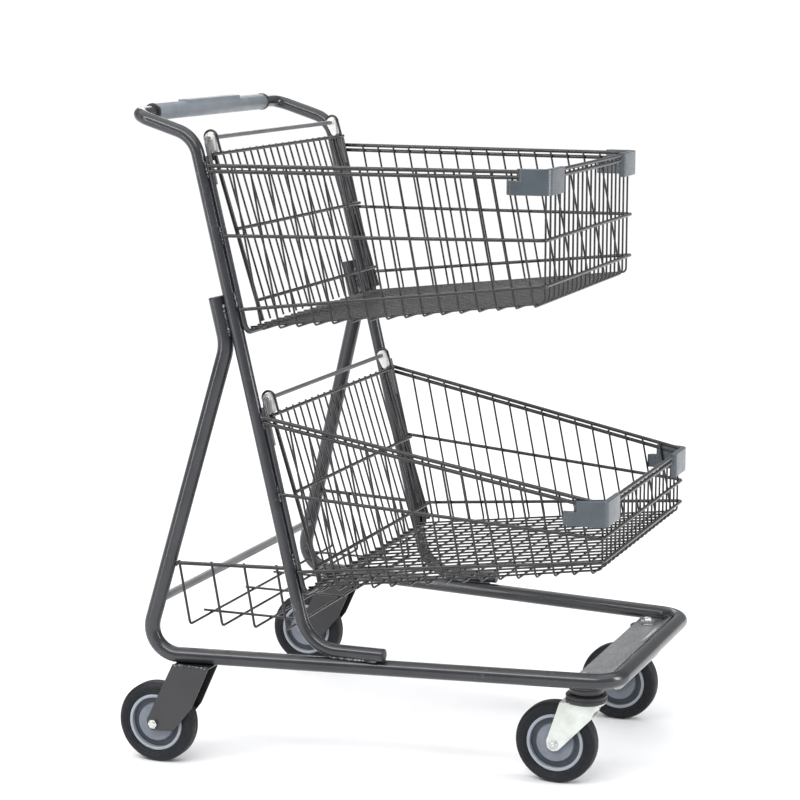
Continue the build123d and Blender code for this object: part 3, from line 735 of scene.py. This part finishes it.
def leg_point(z):
    """Point on the right leg's axis, between the knee and the rear corner."""
    share = (knee_z - z) / (knee_z - base_z)
    return Vector(knee) + (Vector(rear_corner) - Vector(knee)) * share


def tubes():
    """Base loop, handle tube and rear cross tube."""
    loop = whole_path([leg_top, knee, rear_corner, front_corner],
                      [knee_r, leg_bend_r, base_corner_r])
    wires("base_tube_bent", "frame", "charcoal_tube", ["base_tube"], [loop], tube_d, tube_coat,
          *tube_mesh)
    bar = whole_path([stub_end, upright_foot, upright_top, handle_corner],
                     [foot_bend_r, arm_bend_r, handle_corner_r])
    wires("handle_tube_bent", "frame", "charcoal_tube", ["handle_tube"], [bar], upright_d,
          tube_coat, *tube_mesh)
    inner = leg_point(cross_tube_z)
    end = (inner.x, inner.y + tube_r - 1, inner.z)
    wires("rear_cross_tube_round", "frame", "charcoal_tube", ["rear_cross_tube"],
          [run(end, flip([end])[0])], cross_tube_d, cross_coat, 32, 2)


def caps():
    """Plugs in the open tube ends."""
    shape = Shape()
    up = Vector(leg_top) - Vector(knee)
    for side in (1, -1):
        for origin, axis, radius in ((stub_end, Vector((1, 0, 0)), upright_r),
                                     (leg_top, up, tube_r)):
            origin = (origin[0], origin[1] * side, origin[2])
            profile = [(0, -6), (radius - 2, -6), (radius - 2, 0), (radius, 0.1),
                       (radius, cap_flange * 0.45), (radius - 0.8, cap_flange * 0.85),
                       (radius - 2.4, cap_flange), (0, cap_flange)]
            shape.turned(profile, aim(origin, axis, (0, 1, 0)), 40)
    shape.piece("tube_caps_turned", "frame", ["tube_caps"], black_plastic)


def grip():
    """Handle sleeve with its raised blank panel, and the rings at its ends."""
    sleeve = Shape()
    r, bore = grip_d / 2, upright_r - 0.2
    place = across(handle_x, 0, handle_z)
    sleeve.turned([(bore, -grip_half), (r - 0.6, -grip_half), (r, -grip_half + 0.8),
                   (r, grip_half - 0.8), (r - 0.6, grip_half), (bore, grip_half)], place, 64)
    panel = rounded([(-label_width / 2, 0), (label_width / 2, 0),
                     (label_width / 2, r + label_rise), (-label_width / 2, r + label_rise)],
                    [0, 0, 1.6, 1.6])
    sleeve.prism(panel, -label_length / 2, label_length / 2, place)
    sleeve.piece("grip_sleeve_moulded", "frame", ["grip_sleeve"], slate_grip,
                 0.5)
    rings = Shape()
    r = grip_ring_d / 2
    for side in (1, -1):
        place = aim((handle_x, side * (grip_half + weld_gap), handle_z), (0, side, 0))
        rings.turned([(bore, 0), (r - 0.5, 0), (r, 0.7), (r, grip_ring_length - 1.5),
                      (r - 1.5, grip_ring_length), (bore, grip_ring_length)], place, 56)
    rings.piece("grip_rings_turned", "frame", ["grip_rings"], black_plastic)


# --- Baskets ---


class Basket:
    """Sizes of one basket, and the surfaces that its wires lie on."""

    def __init__(self, front_x, front_half, rim, mid, low, bar_z, floor_front_z):
        self.front_x = front_x
        self.rim = rim
        self.rails = (mid, low)
        self.bar_z = bar_z
        self.bar_x = post_x(bar_z)
        self.post_half = handle_half + post_d / 2 + weld_gap - wire_d / 2
        self.taper = (self.post_half - front_half) / (front_x - post_x(rim[1]))
        self.long_rear_z = bar_z + (wire_d + post_d) / 2 + weld_gap
        self.slope = atan((floor_front_z - self.long_rear_z + wire_d) / (front_x - self.bar_x))

    def half(self, x, z):
        return self.post_half - self.taper * (x - post_x(z))

    def long_z(self, x):
        return self.long_rear_z + (x - self.bar_x) * tan(self.slope)

    def cross_z(self, x):
        return self.long_z(x) - (wire_d + weld_gap) / cos(self.slope)

    def rails_with_sizes(self):
        lower_rim = (self.rim[0] - rim_pitch, self.rim[1] - rim_pitch)
        return [(self.rim, rim_d), (lower_rim, rim_d)] + [(r, rail_d) for r in self.rails]


# Each rail has its height at the rear and at the front.
baskets = {
    "upper": Basket(front_x=266.0, front_half=221.0, rim=(913.5, 914.0), mid=(810.5, 817.0),
                    low=(701.5, 751.5), bar_z=667.0, floor_front_z=722.0),
    "lower": Basket(front_x=357.0, front_half=223.5, rim=(541.5, 440.5), mid=(426.5, 390.2),
                    low=(310.0, 355.6), bar_z=275.0, floor_front_z=338.0),
}


def rail_path(basket, rail, diameter):
    """A rail round both sides and the front, outside the thin wires."""
    out = (wire_d + diameter) / 2 + weld_gap
    rear_x, front_x = post_x(rail[0]), basket.front_x + out
    rear = (rear_x, -basket.half(rear_x, rail[0]) - out, rail[0])
    corner = (front_x, -basket.half(front_x, rail[1]) - out, rail[1])
    return whole_path([rear, corner], [rail_bend_r])


def cross_path(basket, x):
    """A wire down one side, under the floor and up the other side."""
    z = basket.cross_z(x)
    lean = tan(radians(side_wire_lean))
    rear_x = post_x(basket.rim[0])
    fall = (basket.rim[1] - basket.rim[0]) / (basket.front_x - rear_x)
    top_x = (x - (basket.rim[0] - fall * rear_x - z) * lean) / (1 + fall * lean)
    top_z = basket.rim[0] + fall * (top_x - rear_x)
    top = (top_x, -basket.half(top_x, top_z), top_z)
    return whole_path([top, (x, -basket.half(x, z), z)], [wire_bend_r])


def long_paths(basket):
    """Wires down the front and back along the floor, fanning out a little."""
    floor_z = basket.long_z(basket.front_x)
    front_half = basket.half(basket.front_x, floor_z) - front_wire_margin
    rear_x = basket.bar_x - floor_overlap
    rear_half = basket.half(basket.bar_x, basket.bar_z) - front_wire_margin - post_bend_r
    paths = []
    for index in range(front_wire_count):
        share = 2 * index / (front_wire_count - 1) - 1
        top = (basket.front_x, share * front_half, basket.rim[1])
        foot = (basket.front_x, share * front_half, floor_z)
        rear = (rear_x, share * rear_half, basket.long_z(rear_x))
        paths.append([(top, 0), (foot, wire_bend_r), (rear, 0)])
    return paths


def basket_wires(name, basket):
    """Every wire of a basket that doesn't move."""
    def put(node, paths, diameter, finish=wire_coat, detail=wire_mesh, part=""):
        label = f"{name}_{node}"
        slot = "charcoal_tube" if node == "basket_rear_hoop" else "charcoal_wire"
        wires(f"{label}{part}_bent", "frame", slot, [label], paths, diameter, finish, *detail)

    rails = basket.rails_with_sizes()
    put("basket_rails", [rail_path(basket, *rail) for rail in rails[:2]], rim_d,
        detail=rail_mesh)
    put("basket_rails", [rail_path(basket, *rail) for rail in rails[2:]], rail_d,
        detail=rail_mesh, part="_lower")
    first = basket.bar_x + side_wire_start
    count = int((basket.front_x - wire_bend_r - wire_d - first) / side_wire_pitch) + 1
    put("basket_cross_wires",
        [cross_path(basket, first + index * side_wire_pitch) for index in range(count)], wire_d)
    put("basket_long_wires", long_paths(basket), wire_d)
    top_z = basket.rim[0] + post_rise
    hoop = [(post_x(top_z), -handle_half, top_z), (basket.bar_x, -handle_half, basket.bar_z)]
    put("basket_rear_hoop", [whole_path(hoop, [post_bend_r])], post_d, tube_coat, post_mesh)
    z = hinge_z[name]
    foot_z = z - hinge_leg_drop
    rod = [(post_x(foot_z), -leg_half, foot_z), (post_x(z), -leg_half, z)]
    put("hinge_rod", [whole_path(rod, [hinge_bend_r])], hinge_d, rod_coat, post_mesh)


def bumper(name, basket, side):
    """Plastic bumper over the two rim rails at a front corner."""
    out = (wire_d + rim_d) / 2 + weld_gap
    inner, outer = wire_d / 2 + 1, out + rim_d / 2 + bumper_cover
    top_z = basket.rim[1] + bumper_rise
    corner = Vector((basket.front_x, -basket.half(basket.front_x, basket.rim[1])))
    back = Vector((-1, -basket.taper)).normalized()
    side_out = Vector((basket.taper, -1)).normalized()
    inside = Vector((0, 1))

    def offset_corner(distance):
        along = corner + side_out * distance
        return along + back * (corner.x + distance - along.x) / back.x

    near, far = offset_corner(inner), offset_corner(outer)

    def outline(length):
        points = [near, near + inside * bumper_front, far + inside * bumper_front, far,
                  far + back * length, near + back * length]
        return [(p.x, p.y * -side) for p in rounded(points, [4, 1.2, 3.5, bumper_r, 3.5, 1.2], 7)]

    cut_z = basket.rim[1] - rim_pitch - rim_d / 2 - 1
    shape = Shape()
    low, mid = outline(bumper_side), outline(bumper_side_top)
    shape.prism(low, top_z - bumper_height, cut_z, Matrix())
    shape.prism(mid, cut_z - 2, top_z, Matrix())
    word = "right" if side < 0 else "left"
    label = f"{name}_{word}_bumper"
    shape.piece(label + "_moulded", "frame", [label], slate_plastic, 1.4, 4)


# --- Gates ---

leg_half = handle_half - (post_d + hinge_d) / 2 - weld_gap
gate_half = leg_half - gate_side_gap
swing = radians(gate_lean - upright_lean)
rail_rest = (hinge_d + rail_d) / 2 + stop_gap
rail_forward = (rail_rest - gate_top_drop * sin(swing)) / cos(swing)
wire_forward = rail_forward - (rail_d + wire_d) / 2 - weld_gap
side_forward = rail_forward - (rail_d + gate_side_d) / 2 - weld_gap


def gate_place(z, drop, y, forward):
    """Point on a gate: its distance down from the hinge axis and forward of it."""
    lean = radians(gate_lean)
    return (post_x(z) + drop * sin(lean) + forward * cos(lean), y,
            z - drop * cos(lean) + forward * sin(lean))


def loop_path(z):
    """The wire loop over the right clip."""
    reach = clip_r + gate_loop_d / 2 + weld_gap
    top = -reach - loop_top_rise
    front = rail_forward + (rail_d + gate_loop_d) / 2 + weld_gap
    back = (gate_side_d + gate_loop_d) / 2 + weld_gap - side_forward
    foot = gate_top_drop + gate_loop_d * 2

    def beside(drop, forward):
        tilt = acos(reach / hypot(drop, forward)) - atan2(drop, forward)
        return (reach + top * sin(tilt)) / cos(tilt)

    points = [(gate_top_drop, front), (top, beside(gate_top_drop, front)),
              (top, -beside(foot, back)), (foot, -back)]
    bends = [0, reach, reach, 0]
    return [(gate_place(z, drop, -gate_half, forward), bend)
            for (drop, forward), bend in zip(points, bends)]


def gate(name, basket):
    """A gate that swings into its basket."""
    z = hinge_z[name]
    body = f"{name}_gate"
    length = (z - basket.long_rear_z - wire_d / 2 - gate_bottom_gap) / cos(radians(gate_lean))

    def put(node, paths, diameter, sides, steps=8):
        label = f"{name}_{node}"
        wires(label + "_bent", body, "charcoal_wire", [label], paths, diameter, wire_coat,
              sides, steps)

    mid, low = rail_drops[name]
    halves = [(gate_top_drop, leg_half), (mid, gate_half + gate_mid_overhang), (low, gate_half)]
    put("gate_rails", [run(gate_place(z, drop, -half, rail_forward),
                           gate_place(z, drop, half, rail_forward)) for drop, half in halves],
        rail_d, 16)
    pitch = 2 * gate_half / (gate_wire_count + 1)
    rows = [(index + 1) * pitch - gate_half for index in range(gate_wire_count)]
    put("gate_wires", [run(gate_place(z, gate_top_drop - gate_wire_overlap, y, wire_forward),
                           gate_place(z, length, y, wire_forward)) for y in rows], wire_d, 12)
    top = clip_tip_drop + clip_tip_r + 2 * weld_gap
    put("gate_side_rods", both(run(gate_place(z, top, -gate_half, side_forward),
                                   gate_place(z, length, -gate_half, side_forward))),
        gate_side_d, 16)
    put("gate_loops", both(loop_path(z)), gate_loop_d, 12)
    clips = Shape()
    lean = radians(gate_lean)
    flank = asin((clip_r - clip_tip_r) / clip_tip_drop)
    outline = []
    for i in range(25):
        angle = -flank + (pi + 2 * flank) * i / 24
        outline.append((clip_r * cos(angle), clip_r * sin(angle)))
    for i in range(13):
        angle = pi + flank + (pi - 2 * flank) * i / 12
        outline.append((clip_tip_r * cos(angle), clip_tip_r * sin(angle) - clip_tip_drop))
    boss = [(0, -0.8), (clip_r * 0.62, -0.8), (clip_r * 0.62, 0.5), (clip_r * 0.5, 1.1),
            (0, 1.1)]
    for side in (-1, 1):
        place = aim((post_x(z), side * gate_half, z), (0, -1, 0), (cos(lean), 0, sin(lean)))
        clips.prism(outline, -clip_width / 2, clip_width / 2, place)
        for face in (-1, 1):
            at = place @ Matrix.Translation((0, 0, face * clip_width / 2))
            clips.turned(boss, facing(at, face), 24)
    label = f"{name}_hinge_clips"
    clips.piece(label + "_moulded", body, [label], clip_metal, 1.1, 3)


# --- Tray ---


def tray():
    """Side rails, hanging wires and lengthwise wires of the low tray."""
    rear = leg_point(tray_rail_z)
    front = Vector((upright_x(tray_rail_z), -handle_half, tray_rail_z))
    axis = (front - rear).normalized()
    ends = run(tuple(rear + axis * (tube_r - 1)), tuple(front - axis * (upright_r - 1)))
    wires("tray_rails_round", "frame", "charcoal_wire", ["tray_rails"], both(ends), tray_rail_d,
          wire_coat, 16, 2)
    inward = ((tray_rail_d + tray_wire_d) / 2 + weld_gap) / cos(atan2(axis.y, axis.x))
    first, last = rear.x + tray_leg_gap, front.x - tray_upright_gap
    shift = (tray_rail_z - tray_floor_z) * tan(radians(tray_lean))
    paths = []
    for index in range(tray_wire_count):
        x = first + (last - first) * index / (tray_wire_count - 1)
        y = rear.y + (front.y - rear.y) * (x - rear.x) / (front.x - rear.x) + inward
        top = (x, y, tray_rail_z + tray_rail_d / 2)
        paths.append(whole_path([top, (x + shift, y, tray_floor_z)], [tray_bend_r]))
    wires("tray_cross_wires_bent", "frame", "charcoal_wire", ["tray_cross_wires"], paths,
          tray_wire_d, wire_coat, 12, 6)
    z = tray_floor_z + tray_wire_d + weld_gap
    rows = [half * side for half in tray_long_half for side in (-1, 1)]
    wires("tray_long_wires_round", "frame", "charcoal_wire", ["tray_long_wires"],
          [run((first + shift - tray_overhang, y, z), (last + shift + tray_overhang, y, z))
           for y in rows], tray_wire_d, wire_coat, 12, 2)


# --- Wheels ---


def mirror_profile(half):
    """A closed profile from its outer half, from the bore to the middle of the tread."""
    return half + [(r, -h) for r, h in half[::-1]]


def wheel(name, x, y):
    """Tyre, hub and bearings of one wheel."""
    place = across(x, y, axle_z)
    sides = [facing(place, side) for side in (1, -1)]
    r, w, inner, shoulder_r = wheel_d / 2, wheel_width / 2, 44.0, 8
    wall = [(inner, 0), (inner, w - 3.2), (inner + 1.2, w - 1.2), (inner + 3, w - 0.6),
            (inner + 4, w - 1.1), (inner + 5, w - 0.2), (inner + 7.4, w), (inner + 8.2, w - 0.55),
            (inner + 9, w)]
    shoulder = [(r - shoulder_r + shoulder_r * sin(radians(a)),
                 w - shoulder_r + shoulder_r * cos(radians(a))) for a in range(0, 91, 10)]
    tread = [(r, 4.6), (r - 0.5, 4.2), (r - 0.5, 3.6), (r, 3.2)]
    lip = [(39.0, 4), (43.95, 4), (43.95, 11.8), (42.9, 12.8), (40.6, 13), (39.2, 12.2)]
    disc = [(4.2, 0), (4.2, 3.6), (11.2, 3.6), (11.2, 12.2), (12.4, 13), (15.2, 13), (16.4, 11.2),
            (24.5, 10.8), (26.0, 11.4), (28.4, 11.2), (29.2, 10.0), (30.2, 6.2)]
    web = [(29.5, 0), (29.5, 5.6), (34, 5.2), (39.4, 6.0), (43.9, 6.0), (43.9, 0.2)]
    ring = [(4.06, 4), (11, 4), (11, 10.6), (10.4, 11), (8.8, 11), (8.5, 10.3), (6.6, 10.3),
            (6.3, 11), (4.06, 11)]
    # Lip and web use lit and shaded copies of the hub plastic: painted light on the lip, painted
    # shade in the recessed web.
    for label, slot, finish, profile, places, steps, sharp in (
            ("tyre_moulded", "black_rubber", rubber, mirror_profile(wall + shoulder + tread),
             [place], 96, 30),
            ("hub_lips", "grey_plastic", lip_painted_light_plastic, lip, sides, 72, 45),
            ("hub_disc", "grey_plastic", hub_plastic, mirror_profile(disc), [place], 72, 40),
            ("hub_web", "grey_plastic", web_painted_shade_plastic, mirror_profile(web), [place], 72, 40),
            ("bearings_turned", "zinc_steel", bright_zinc, ring, sides, 48, 38)):
        shape = Shape()
        for at in places:
            shape.turned(profile, at, steps)
        node = label.split("_")[0]
        shape.piece(f"{name}_{label}", f"{name}_wheel", [f"{name}_{node}"], finish,
                    sharp=sharp)


def axle(name, body, x, y, wall, side, round_head):
    """Bolt or rivet through a fork, with its nut on the inner side."""
    half = fork_gap + wall + weld_gap
    bolt = Shape()
    out = aim((x, y, axle_z), (0, side, 0))
    shank = [(0, -half - axle_head - 3), (3.4, -half - axle_head - 3),
             (4, -half - axle_head - 2.4), (4, half + 0.5), (0, half + 0.5)]
    bolt.turned(shank, out, 32)
    head = out @ Matrix.Translation((0, 0, half))
    if round_head:
        bolt.turned([(0, 0), (7, 0), (7, 1.6), (6.2, 2.2), (4.6, 2.4), (4.2, 4.4), (3.2, 5.2),
                     (1.6, 5.3), (1.2, 4.6), (0, 4.5)], head, 40)
    else:
        bolt.nut(axle_hex, axle_head - 1.2, head, 1.2)
    bolt.nut(axle_hex, axle_head, facing(out @ Matrix.Translation((0, 0, -half)), -1))
    bolt.piece(f"{name}_axle_bolt", body, [f"{name}_axle"], bright_zinc, 0.5, 3, 30)


def fork_plates(fork, outline, wall, place):
    """A plate on each side of the wheel."""
    for side in (-1, 1):
        low, high = sorted((side * fork_gap, side * (fork_gap + wall)))
        fork.prism(outline, low, high, place)


def rear_fork(name, x, y):
    """Two painted plates and the top between them, welded under the base tube."""
    outline = rounded(rear_fork_outline, [0, 7, 7, 7, 7, 7, 0])
    fork = Shape()
    place = across(x, y, axle_z)
    fork_plates(fork, outline, rear_fork_wall, place)
    top = rear_fork_outline[0][1]
    fork.prism([(33, top - 3), (92.5, top - 3), (94, top), (33, top)], -fork_gap - 0.5,
               fork_gap + 0.5, place)
    fork.piece(f"{name}_fork_plates", "frame", [f"{name}_fork"], fork_coat,
               0.7, 3)
    lines = []
    for side in (-1, 1):
        row = y + side * (fork_gap + rear_fork_wall - 1)
        z = axle_z + top - 0.5
        lines.append([(x + 35, row, z), (x + 92, row, z)])
    welds(f"{name}_fork_welds", "frame", lines, fork_bead_r, 7, 1.15)


def front_caster(name, side):
    """Fork, race and kingpin of one swivel caster."""
    body = f"{name}_caster"
    x, y = swivel_x - trail, side * swivel_half
    top = crown_z - axle_z
    front = trail + crown_front
    outline = [(trail - crown_back, top), (-11.5, 4), (-9.5, -6.5), (-2, -11.5), (7, -9.6),
               (trail + 13, top - 22), (trail + 17, top - 12), (front, top - 6), (front, top)]
    outline = rounded(outline, [2, 6, 6, 6, 8, 6, 4, 3, 2])
    fork = Shape()
    place = across(x, y, axle_z)
    fork_plates(fork, outline, front_fork_wall, place)
    flat = aim((x + trail, y, crown_z), (0, 0, 1))
    crown = rounded([(-crown_back, -crown_half), (crown_front, -crown_half),
                     (crown_front, crown_half), (-crown_back, crown_half)], 3)
    fork.prism(crown, -front_fork_wall, 0, flat)
    disc = [(6.2, -front_fork_wall), (crown_d / 2 - 1, -front_fork_wall),
            (crown_d / 2, -1.5), (crown_d / 2 - 1, 0), (6.2, 0)]
    fork.turned(disc, flat, 56)
    fork.piece(f"{name}_fork_pressed", body, [f"{name}_fork"], fork_zinc, 0.8, 3)
    axle(name, body, x, y, front_fork_wall, side, True)
    seat = aim((x + trail, y, crown_z + stop_gap), (0, 0, 1))
    race = Shape()
    r = race_d / 2
    race.turned([(race_bore_r, 0), (r - 2, 0), (r, 1.6), (r, 5.4), (r - 0.8, 6.2),
                 (r - 0.8, 7.2), (r, 8), (r, 11), (r - 2, race_height),
                 (race_bore_r, race_height)], seat, 72)
    race.piece(f"{name}_race_ring", "frame", [f"{name}_swivel_race"],
               black_plastic)
    pot = Shape()
    s, high = seat_d / 2, race_height + seat_height
    pot.turned([(race_bore_r, race_height - 0.5), (s - 3, race_height - 0.5),
                (s - 2, race_height + 3), (s - 2, race_height + 8), (s, race_height + 10),
                (s, high), (race_bore_r, high)], seat, 64)
    pot.piece(f"{name}_race_seat", "frame", [f"{name}_swivel_race"], seat_coat)
    pin = Shape()
    nut = aim((x + trail, y, fork_top_z + plate_thickness + 3 * weld_gap), (0, 0, 1), (1, 0.25, 0))
    pin.nut(kingpin_hex, kingpin_nut_height - 2.6, nut, kingpin_dome)
    pin.turned([(0, 0), (12.4, 0), (12.4, 1.2), (0, 1.2)], nut, 48)
    low = aim((x + trail, y, crown_z - front_fork_wall - stop_gap), (0, 0, 1))
    pin.turned([(0, -2.5), (8.6, -2.5), (10, -1.4), (10, 0), (pin_r, 0), (pin_r, 36), (0, 36)],
               low, 40)
    pin.piece(f"{name}_kingpin_nut", "frame", [f"{name}_kingpin"], bright_zinc,
              0.6, 3, 30)


def caster_plate():
    """Folded plate between the side tubes, with a slot in its raised front."""
    low = fork_top_z + weld_gap
    front_x = base_front_x - plate_front_gap
    fold_x = front_x - plate_flange
    rear_x = fold_x - plate_depth
    slot_y = base_front_half / 2

    def height(x):
        return low + max(0, x - fold_x) / plate_flange * plate_flange_rise

    def strip(shape, start, end, first_y, last_y):
        """The part of the plate between two places along and across the cart."""
        xs = [start, fold_x, end] if start < fold_x < end else [start, end]
        section = [(x, height(x)) for x in xs]
        section += [(x, height(x) + plate_thickness) for x in xs[::-1]]
        shape.prism(section, -last_y, -first_y, across(0, 0, 0))

    shape = Shape()
    half = base_half(fold_x) - tube_r + 3
    slot_start = fold_x + slot_edge
    slot_end = slot_start + slot_width
    strip(shape, rear_x, slot_start, -half, half)
    strip(shape, slot_end, front_x, -half, half)
    strip(shape, slot_start, slot_end, -half, slot_y - slot_length / 2)
    strip(shape, slot_start, slot_end, slot_y + slot_length / 2, half)
    shape.piece("caster_plate_folded", "frame", ["caster_plate"], plate_zinc, 0, 2,
                12)


# --- Welds ---


def frame_welds():
    """Beads where tubes, posts and rails are welded together."""
    lines = []
    for side in (-1, 1):
        y = handle_half * side
        z = base_z + tube_r + 0.5
        for shift in (-5, 5):
            lines.append([(x, y + shift, z) for x in foot_weld_x])
        for shift in (-6.5, 6.5):
            lines.append([(upright_x(h) - (upright_r + 0.5) / lean_cos, y + shift, h)
                          for h in leg_weld_z])
        rear = leg_point(tray_rail_z)
        lines.append([(rear.x + tube_r + 1, -rear.y * side, tray_rail_z + h) for h in (3, -3)])
    welds("tube_welds", "frame", lines, tube_bead_r, 11)
    posts = []
    for basket in baskets.values():
        for side in (-1, 1):
            y = handle_half * side
            for middle in (basket.rim[0] - 6, basket.rails[0][0], basket.rails[1][0] + 14):
                for shift in (-4.2, 4.2):
                    posts.append([(post_x(h) - (post_d / 2 - 0.6) / lean_cos, y + shift, h)
                                  for h in (middle - post_weld_half, middle + post_weld_half)])
    welds("post_welds", "frame", posts, post_bead_r, 5)


# --- Build everything ---

camera()
studio()
tube_coat = powder_coat("charcoal tube coat", (0.016, 0.017, 0.020), (0.026, 0.027, 0.031), 0.16,
                        0.26, 0.3)
fork_coat = powder_coat("charcoal fork coat", (0.011, 0.011, 0.012), (0.019, 0.019, 0.021), 0.34,
                        0.46, 0.25)
cross_coat = powder_coat("pale cross tube coat", (0.13, 0.135, 0.14), (0.18, 0.185, 0.19), 0.3,
                         0.42, 0.6)
wire_coat = powder_coat("charcoal wire coat", (0.006, 0.005, 0.006), (0.013, 0.012, 0.013), 0.18,
                        0.28, 0.15)
rod_coat = powder_coat("grey hinge rod coat", (0.07, 0.07, 0.072), (0.11, 0.11, 0.112), 0.28,
                       0.4, 0.6)
seat_coat = powder_coat("black caster seat coat", (0.012, 0.012, 0.013), (0.024, 0.024, 0.026),
                        0.3, 0.42, 0.5)
bead_paint = weld_metal()
bright_zinc = zinc("bright zinc plate", (0.50, 0.51, 0.50), (0.64, 0.65, 0.63),
                   (0.36, 0.37, 0.35), 0.5, 0.22, 0.95)
fork_zinc = zinc("galvanised fork steel", (0.60, 0.63, 0.60), (0.70, 0.73, 0.69),
                 (0.47, 0.49, 0.44), 0.6, 0.42, 0.55)
plate_zinc = zinc("galvanised plate steel", (0.36, 0.37, 0.38), (0.46, 0.47, 0.48),
                  (0.30, 0.30, 0.30), 0.5, 0.3, 0.85)
clip_metal = zinc("pale clip metal", (0.66, 0.66, 0.64), (0.76, 0.76, 0.73),
                  (0.52, 0.51, 0.48), 0.5, 0.34, 0.5)
slate_plastic = moulded("slate bumper plastic", (0.036, 0.048, 0.058), (0.048, 0.062, 0.074), 0.27,
                        900, (0.06, 0.07, 0.08), 0.2, coat=0.3)
slate_grip = moulded("slate grip plastic", (0.150, 0.172, 0.195), (0.180, 0.200, 0.225), 0.40,
                     1500, (0.26, 0.27, 0.29), 0.35)
black_plastic = moulded("black plastic", (0.009, 0.009, 0.010), (0.016, 0.016, 0.018), 0.38,
                        1200, (0.04, 0.04, 0.04), 0.25)
rubber = moulded("black tyre rubber", (0.006, 0.007, 0.009), (0.011, 0.012, 0.015), 0.48, 1100,
                 (0.04, 0.04, 0.042), 0.2, specular=0.25)
# The hub is one grey plastic: the lip's paler copy is painted light on the raised rim, and the
# web's near-black copy is painted shade in the recess.
lip_painted_light_plastic = moulded("hub lip plastic with painted light", (0.25, 0.28, 0.32), (0.31, 0.34, 0.38), 0.36,
                      1000, (0.18, 0.19, 0.21), 0.3)
hub_plastic = moulded("grey hub plastic", (0.13, 0.150, 0.18), (0.17, 0.190, 0.22), 0.4, 1000,
                      (0.10, 0.11, 0.13), 0.3)
web_painted_shade_plastic = moulded("hub web plastic with painted shade", (0.022, 0.028, 0.040), (0.035, 0.042, 0.056), 0.45,
                      1000, (0.03, 0.03, 0.04), 0.3)
swept = swept_tree()
beads = bead_tree()
tubes()
caps()
grip()
tray()
for basket_name, wire_basket in baskets.items():
    basket_wires(basket_name, wire_basket)
    gate(basket_name, wire_basket)
    for hand in (-1, 1):
        bumper(basket_name, wire_basket, hand)
for wheel_name, hand in (("rear_right", -1), ("rear_left", 1)):
    wheel(wheel_name, rear_axle_x, hand * rear_wheel_half)
    rear_fork(wheel_name, rear_axle_x, hand * rear_wheel_half)
    axle(wheel_name, "frame", rear_axle_x, hand * rear_wheel_half, rear_fork_wall, hand, False)
for wheel_name, hand in (("front_right", -1), ("front_left", 1)):
    wheel(wheel_name, swivel_x - trail, hand * swivel_half)
    front_caster(wheel_name, hand)
frame_welds()
caster_plate()
